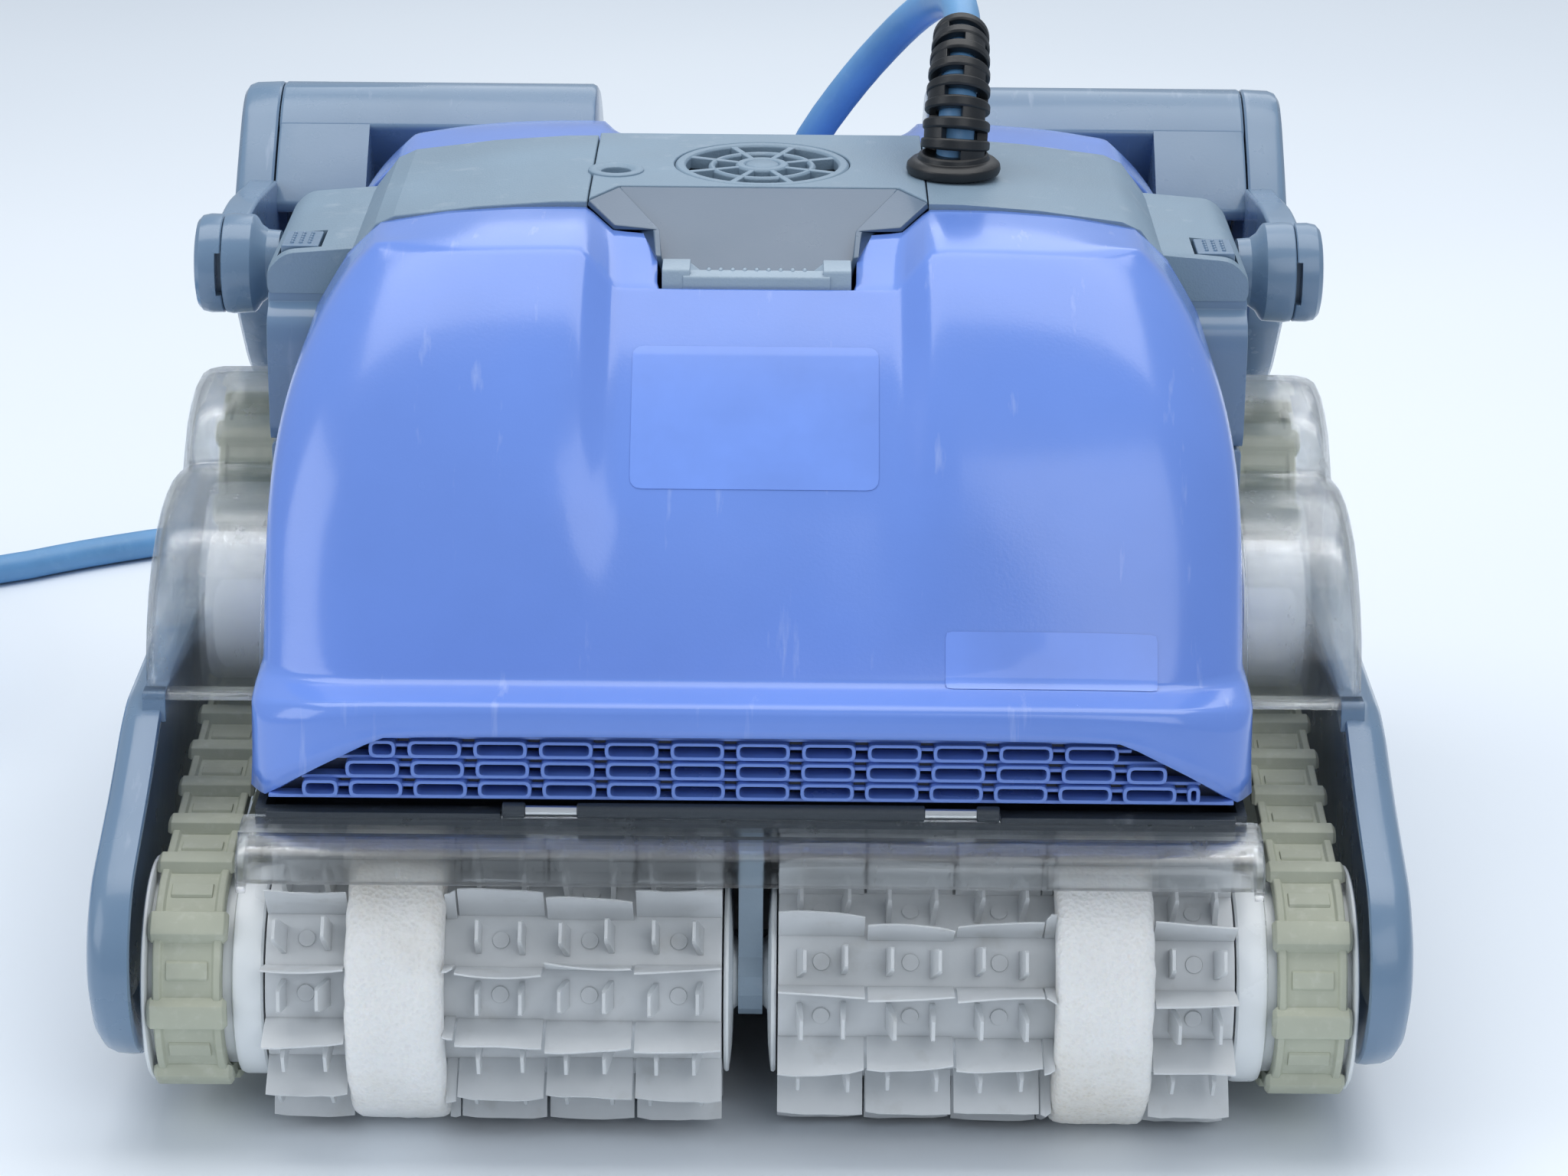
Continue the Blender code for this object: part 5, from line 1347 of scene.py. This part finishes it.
def wheels():
    for side in (LEFT, RIGHT):
        for end in (FRONT, REAR):
            name = END_WORD[end] + "_" + WORD[side]
            profile = [(0.1585, 0.0290), (0.1585, 0.0336), (0.1592, 0.0346), (0.1606, 0.0350),
                       (0.1668, 0.0350),
                       (0.1682, 0.0344), (0.1688, 0.0330), (0.1690, 0.0314), (0.1962, 0.0314),
                       (0.1963, 0.0360), (0.1968, 0.0371), (0.1976, 0.0372), (0.1981, 0.0364),
                       (0.1981, 0.0280), (0.1965, 0.0262), (0.1965, 0.0120), (0.1978, 0.0105),
                       (0.1978, 0.0040)]
            bm = bmesh.new()
            turned(bm, lean(side, profile), "X", (end * AXLE_Y, AXLE_Z), 96)
            piece("hub_" + name, bm, "white_plastic", "brush_" + name, "white_plastic", "wheel_" + name,
                  smooth=35)
            disc = [(0.0087, 0.0300), (0.0085, 0.0325), (0.0078, 0.0331), (0.0070, 0.0328), (0.0066, 0.0300),
                    (0.0060, 0.0240), (0.0056, 0.0125), (0.0040, 0.0110), (0.0036, 0.0060), (0.0008, 0.0055)]
            bm = bmesh.new()
            turned(bm, lean(side, disc), "X", (end * AXLE_Y, AXLE_Z), 72)
            piece("inner_disc_" + name, bm, "white_plastic", "brush_" + name, "white_plastic",
                  "end_disc_" + name, smooth=35)
        for word, centre, radius in (("idler_roller_", (ROLLER_Y, ROLLER_Z), 0.0260),
                                     ("drive_pulley_", (PULLEY_Y, PULLEY_Z), 0.0312)):
            name = word + WORD[side]
            profile = [(0.1668, 0.0078), (0.1702, 0.0078), (0.1703, radius - 0.0008), (0.1708, radius),
                       (0.1914, radius), (0.1924, radius - 0.0006), (0.1926, radius - 0.0020),
                       (0.1926, radius - 0.0042), (0.1905, radius - 0.0055), (0.1905, 0.0090),
                       (0.1922, 0.0080), (0.1922, 0.0030)]
            bm = bmesh.new()
            turned(bm, lean(side, profile), "X", centre, 80)
            if word.startswith("drive"):
                for k in range(20):
                    a = math.radians(18 * k)
                    spot = (centre[0] + radius * math.cos(a) * 0.985,
                            centre[1] + radius * math.sin(a) * 0.985)
                    turned(bm, lean(side, [(0.1712, 0.0008), (0.1910, 0.0008)]), "X", spot, 8)
            piece(name + "_drum", bm, "white_plastic", name, "white_plastic", name, smooth=35)


tracks()
wheels()


# ---------------------------------------------------------------- brushes and foam rings
BLADE_ROWS = 12
DRUM_R = 0.034
BLADE_TIP = 0.0494
SEGMENTS = [(0.0092, 0.0372), (0.0382, 0.0662), (0.0672, 0.0952), (0.0958, 0.0992), (0.1312, 0.1578)]


def uneven(*numbers):
    """A repeatable number from -1 to 1."""
    value = math.sin(sum(n * k for n, k in zip(numbers, (12.9898, 78.233, 37.719, 53.17)))) * 43758.5453
    return (value - math.floor(value)) * 2 - 1


def around(centre, angle, radius, aside=0.0):
    return (centre[0] + radius * math.cos(angle) - aside * math.sin(angle),
            centre[1] + radius * math.sin(angle) + aside * math.cos(angle))


def blade(bm, side, centre, angle, low, high, seed):
    """One thin PVC blade: swept back a little, bowed along its length, with a thinner tip."""
    sweep = 0.0016 * uneven(seed, 1) + 0.0008
    bow = 0.0012 * uneven(seed, 2)
    twist = 0.0011 * uneven(seed, 3)
    loops = []
    steps = 6 if high - low > 0.01 else 2
    for i in range(steps + 1):
        u = i / steps
        x = low + (high - low) * u
        tip_r = BLADE_TIP - 0.0004 * abs(uneven(seed, i, 5)) - (0.0006 if i in (0, steps) else 0.0)
        loop = []
        for t, half in ((0.0, 0.00085), (0.45, 0.00065), (0.85, 0.00055), (1.0, 0.0003)):
            aside = t * t * sweep + t * t * (bow * (1 - (2 * u - 1) ** 2) + twist * (2 * u - 1))
            radius = (DRUM_R - 0.0006) + (tip_r - DRUM_R + 0.0006) * t
            loop.append((radius, aside, half))
        side_a = [(side * x, *around(centre, angle, r, a - h)) for r, a, h in loop]
        side_b = [(side * x, *around(centre, angle, r, a + h)) for r, a, h in reversed(loop)]
        loops.append(side_a + side_b)
    rings(bm, loops)


def fin(bm, side, centre, angle, x, seed):
    """A small upright fin between two rows of blades, set across them."""
    tilt = 0.0016 * uneven(seed, 7) + 0.0012
    loops = []
    for t, wide, thick in ((0.0, 0.0046, 0.0009), (0.7, 0.0042, 0.0008), (0.94, 0.0039, 0.0007),
                           (1.0, 0.0032, 0.0005)):
        radius = DRUM_R - 0.0008 + 0.0122 * t
        at = x + tilt * t
        loops.append([(side * (at + dx), *around(centre, angle, radius, aside)) for dx, aside in
                      ((-thick, -wide), (thick, -wide), (thick, wide), (-thick, wide))])
    rings(bm, loops)


def stud(bm, side, centre, angle, x):
    """A flat round boss on the drum."""
    turn = Matrix.Rotation(angle - math.pi / 2, 4, "X")
    spot = Matrix.Translation((side * x, *around(centre, angle, DRUM_R - 0.0001)))
    bmesh.ops.create_cone(bm, cap_ends=True, segments=18, radius1=0.0031, radius2=0.0027, depth=0.0013,
                          matrix=spot @ turn)


def brushes():
    for end in (FRONT, REAR):
        for side in (LEFT, RIGHT):
            name = END_WORD[end] + "_" + WORD[side]
            centre = (end * AXLE_Y, AXLE_Z)
            bm = bmesh.new()
            profile = [(0.0091, 0.0305), (0.0093, 0.0338), (0.0098, DRUM_R), (0.1572, DRUM_R),
                       (0.1578, 0.0338),
                       (0.1580, 0.0305)]
            turned(bm, lean(side, profile), "X", centre, 72)
            for row in range(BLADE_ROWS):
                angle = 2 * math.pi * (row + 0.35 * (side > 0)) / BLADE_ROWS + 0.06
                for k, (low, high) in enumerate(SEGMENTS):
                    seed = row + 20 * k + 200 * (side > 0) + 411 * (end > 0)
                    lean_by = math.radians(1.6) * uneven(seed, 4)
                    blade(bm, side, centre, angle + lean_by, low, high, seed)
                    middle = (low + high) / 2
                    between = angle + math.pi / BLADE_ROWS
                    if high - low > 0.01:
                        for f, dx in enumerate((-0.0072, 0.0072)):
                            fin(bm, side, centre, between + 0.02 * uneven(seed, f), middle + dx, seed + f)
                        stud(bm, side, centre, between, middle)
            piece("brush_blades_" + name, bm, "brush_pvc", "brush_" + name, "brush_pvc", "brush_" + name,
                  smooth=38)
            foam_ring(end, side, name, centre)


def foam_ring(end, side, name, centre):
    """A matted foam sleeve: soft shoulders, a slightly uneven surface and ragged rims."""
    low, high, tip, bore = 0.0990, 0.1310, 0.0499, 0.0342
    profile = [(low + 0.0006, bore), (low + 0.0002, bore + 0.004), (low, bore + 0.010),
               (low + 0.0003, tip - 0.0030),
               (low + 0.0011, tip - 0.0013), (low + 0.0026, tip - 0.0004), (low + 0.0050, tip)]
    across = [(low + 0.0050 + (high - low - 0.0100) * k / 9, tip) for k in range(1, 9)]
    mirror = [(low + high - x, r) for x, r in reversed(profile)]
    profile = profile + across + mirror
    sides = 160
    bm = bmesh.new()
    loops = []
    for at, radius in profile:
        loop = []
        for k in range(sides):
            a = 2 * math.pi * k / sides
            p = Vector((side * at * 90, math.cos(a) * 4.6 + end * 9, math.sin(a) * 4.6 + side * 5))
            rough = noise.fractal(p * 1.1, 0.6, 2.1, 4) * 0.00055 + noise.noise(p * 4.3) * 0.00022
            edge = 1.0 if radius > bore + 0.006 else 0.0
            r = radius - edge * max(0.0, 0.00075 + rough)
            near_end = at < low + 0.004 or at > high - 0.004
            x = at + edge * 0.0006 * noise.noise(p * 1.9 + Vector((3, 1, 7))) * near_end
            loop.append((side * x, *around(centre, a, r)))
        loops.append(loop)
    rings(bm, loops, cyclic=True)
    ring = piece("foam_sleeve_" + name, bm, "ring_foam", "brush_" + name, "ring_foam", "foam_ring_" + name,
                 smooth=60)


brushes()


# ---------------------------------------------------------------- strain relief
def relief_ring(distance, radius, turn, count):
    """Points of a circle, or of an arc, across the relief's centre line."""
    spot, ahead = relief_frame(distance)
    first = Vector((1, 0, 0)) - ahead * ahead.x
    first.normalize()
    second = ahead.cross(first)
    low, high = turn
    full = high - low > 359
    out = []
    for k in range(count):
        a = math.radians(low + (high - low) * k / (count if full else count - 1))
        out.append(spot + first * radius * math.cos(a) + second * radius * math.sin(a))
    return out


def strain_relief():
    """Bellows of slotted rings round the cable, on a flange, with the blue core showing."""
    bm = bmesh.new()
    foot = RELIEF_FOOT_Z
    flange = [(foot - 0.0006, 0.0150), (foot - 0.0006, 0.0160), (foot + 0.0008, 0.0165),
              (foot + 0.0026, 0.0163), (foot + 0.0040, 0.0148), (foot + 0.0044, 0.0126),
              (foot + 0.0060, 0.0122), (foot + 0.0066, 0.0112), (foot + 0.0060, 0.0070)]
    turned(bm, flange, "Z", RELIEF_XY, 64)
    first, levels, ring_high = 0.0075, 8, 0.0034
    pitch = (RELIEF_LENGTH - first - ring_high - 0.0004) / (levels - 1)
    for k in range(levels):
        low = first + k * pitch
        high = low + ring_high + (0.0022 if k == levels - 1 else 0.0)
        high = min(high, RELIEF_LENGTH - 0.0002)
        outer = 0.0121 - 0.0021 * k / (levels - 1)
        inner = 0.0074
        loops = [relief_ring(low, inner, (0, 360), 48), relief_ring(low, outer - 0.0006, (0, 360), 48),
                 relief_ring(low + 0.0006, outer, (0, 360), 48), relief_ring(high - 0.0006, outer, (0,
                 360), 48),
                 relief_ring(high, outer - 0.0006, (0, 360), 48), relief_ring(high, inner, (0, 360), 48)]
        rings(bm, loops, cyclic=True)
        below = low - pitch + ring_high if k else 0.0050
        for half in (0, 180):
            middle = half + (35 if k % 2 else 125)
            turn = (middle - 27, middle + 27)
            walls = [relief_ring(d, r, turn, 10) for d, r in
                     ((below - 0.0002, inner), (below - 0.0002, outer - 0.0004),
                     (low + 0.0002, outer - 0.0004),
                      (low + 0.0002, inner))]
            rings(bm, [[wall[i] for wall in walls] for i in range(10)])
    piece("relief_bellows", bm, "black_rubber", "root", "black_rubber", "strain_relief", bevel=0.0003,
          segments=2, smooth=40)
    bm = bmesh.new()
    rings(bm, [relief_ring(0.0035 + (RELIEF_LENGTH - 0.0040) * i / 16, CABLE_R - 0.0001, (0, 360), 40)
               for i in range(17)])
    piece("relief_core", bm, "cable_jacket", "root", "cable_jacket", smooth=60)


# ---------------------------------------------------------------- hull trim and labels
def hull_trim():
    """Hinge knuckles and the dark trim strip below the intakes."""
    for end in (FRONT, REAR):
        word = END_WORD[end]
        bm = bmesh.new()
        for low, high in ((-0.056, 0.056), (0.0725, 0.0800), (-0.0800, -0.0725)):
            turned(bm, [(low, 0.0022), (low + 0.0004, 0.0026), (high - 0.0004, 0.0026), (high, 0.0022)], "X",
                   (end * 0.1925, 0.1195), 24)
        for low, high in ((-0.156, -0.0805), (0.0805, 0.156)):
            near, far = sorted((end * 0.1895, end * 0.1935))
            box(bm, (low, near, 0.1166), (high, far, 0.1186))
        piece(word + "_hinge_trim", bm, "hull_plastic", "root", "hull_plastic", bevel=0.0004)
        if end == REAR:
            bm = bmesh.new()
            for side in (LEFT, RIGHT):
                turned(bm, [(side * 0.0565, 0.0016), (side * 0.0720, 0.0016)], "X", (0.1925, 0.1195), 20)
            piece("rear_pins", bm, "hinge_steel", "root", "hinge_steel")


def film_material():
    n = Nodes("label_film", scaled(BLUE, 1.12), 0.34, Coat_Weight=0.6, Coat_Roughness=0.05)
    n.colour(n.mix(n.ramp(n.noise(20.0, 5.0), 0.3, 0.7), scaled(BLUE, 1.02), scaled(BLUE, 1.22)))
    return n.bump((n.noise(60.0, 3.0), 0.0003, 0.15), (n.noise(500.0, 2.0), 0.0001, 0.1))


def on_lid(name, mat, outline, centre, rise, steps=(40, 24)):
    """A thin film laid on the front lid: a grid inside a rounded outline, pressed onto the shell."""
    from mathutils.bvhtree import BVHTree
    shell_item = bpy.data.objects["lid_shell"]
    bpy.context.view_layer.update()
    depsgraph = bpy.context.evaluated_depsgraph_get()
    tree = BVHTree.FromObject(shell_item, depsgraph)
    place = shell_item.matrix_world
    bm = bmesh.new()
    width, height, corner = outline
    face_up = Vector((0.0, 0.60, 0.80))
    grid = {}
    for i in range(steps[0] + 1):
        for j in range(steps[1] + 1):
            u = (i / steps[0] - 0.5) * width
            v = (j / steps[1] - 0.5) * height
            du, dv = abs(u) - (width / 2 - corner), abs(v) - (height / 2 - corner)
            if du > 0 and dv > 0:
                far = math.hypot(du, dv)
                if far > corner:
                    u = math.copysign(width / 2 - corner + du * corner / far, u)
                    v = math.copysign(height / 2 - corner + dv * corner / far, v)
            start = Vector((centre[0] + u, centre[1], centre[2])) + face_up * v + Vector((0, -0.10, 0.075))
            local = place.inverted() @ start
            hit = tree.ray_cast(local, Vector((0, 0.80, -0.60)).normalized())
            if hit[0] is not None:
                grid[i, j] = bm.verts.new(place @ hit[0] + hit[1] * rise)
    for i in range(steps[0]):
        for j in range(steps[1]):
            keys = [(i, j), (i + 1, j), (i + 1, j + 1), (i, j + 1)]
            if all(k in grid for k in keys):
                bm.faces.new([grid[k] for k in keys])
    return piece(name, bm, mat, "front_lid", "lid_plastic", smooth=60, weld=1e-5)


def labels():
    MATS["label_film"] = film_material()
    on_lid("face_label", "label_film", (0.081, 0.051, 0.0035), (0.0, -0.1345, 0.2370), 0.00022)
    on_lid("maker_label", "label_film", (0.0685, 0.019, 0.0015), (0.0965, -0.1755, 0.1665), 0.00022, (30, 8))


strain_relief()
hull_trim()
labels()


# ---------------------------------------------------------------- studio
FLOOR_HALF = 12.0


def studio():
    """A plain pale floor, unseen from below, with soft light from above."""
    bm = bmesh.new()
    bmesh.ops.create_grid(bm, x_segments=1, y_segments=1, size=FLOOR_HALF)
    mesh = bpy.data.meshes.new("studio_floor")
    bm.to_mesh(mesh)
    bm.free()
    mesh.shade_smooth()
    floor = bpy.data.objects.new("studio_floor", mesh)
    bpy.context.collection.objects.link(floor)
    n = Nodes("studio_paper", (0.76, 0.81, 0.86), 0.6)
    n.colour(n.mix(n.ramp(n.noise(1.3, 2.0), 0.3, 0.7), (0.815, 0.87, 0.935), (0.86, 0.91, 0.965)))
    n.bump((n.noise(300.0, 3.0), 0.0001, 0.2))
    seen_from_below = n.add("ShaderNodeNewGeometry").outputs["Backfacing"]
    n.link(n.ramp(seen_from_below, 0.0, 1.0, 1.0, 0.0), n.shader.inputs["Alpha"])
    mesh.materials.append(n.mat)

    def lamp(name, spot, target, size, power, colour, height=None):
        data = bpy.data.lights.new(name, "AREA")
        data.shape = "RECTANGLE"
        data.size, data.size_y = size, height or size
        data.energy = power
        data.color = colour
        light = bpy.data.objects.new(name, data)
        light.location = spot
        light.rotation_euler = (Vector(target) - Vector(spot)).to_track_quat("-Z", "Y").to_euler()
        light.visible_camera = False
        bpy.context.collection.objects.link(light)

    lamp("ceiling", (0.0, 0.15, 1.9), (0, 0, 0.1), 2.4, 25.0, (1.0, 0.99, 0.97), 1.3)
    lamp("front", (0.9, -1.9, 1.5), (0, 0, 0.1), 1.4, 10.5, (0.97, 0.985, 1.0))
    lamp("left", (-1.9, -0.9, 1.1), (0, 0, 0.1), 1.2, 10.0, (0.95, 0.975, 1.0))
    lamp("back", (0.3, 1.6, 1.7), (0, 0, 0.2), 1.6, 10.0, (0.97, 0.985, 1.0))
    world = bpy.data.worlds.new("studio_air")
    world.use_nodes = True
    world.node_tree.nodes["Background"].inputs["Color"].default_value = (0.72, 0.80, 0.90, 1.0)
    world.node_tree.nodes["Background"].inputs["Strength"].default_value = 0.50
    bpy.context.scene.world = world
    bpy.context.scene.view_settings.view_transform = "Standard"


def dress_frame():
    """The procedural materials on the CAD nodes, for those that stay in view."""
    for row in frame["record"]["subparts"]:
        slots = frame["nodes"][row["node"]].data.materials
        slots.clear()
        slots.append(MATS[row["material_slot"]])


dress_frame()
studio()
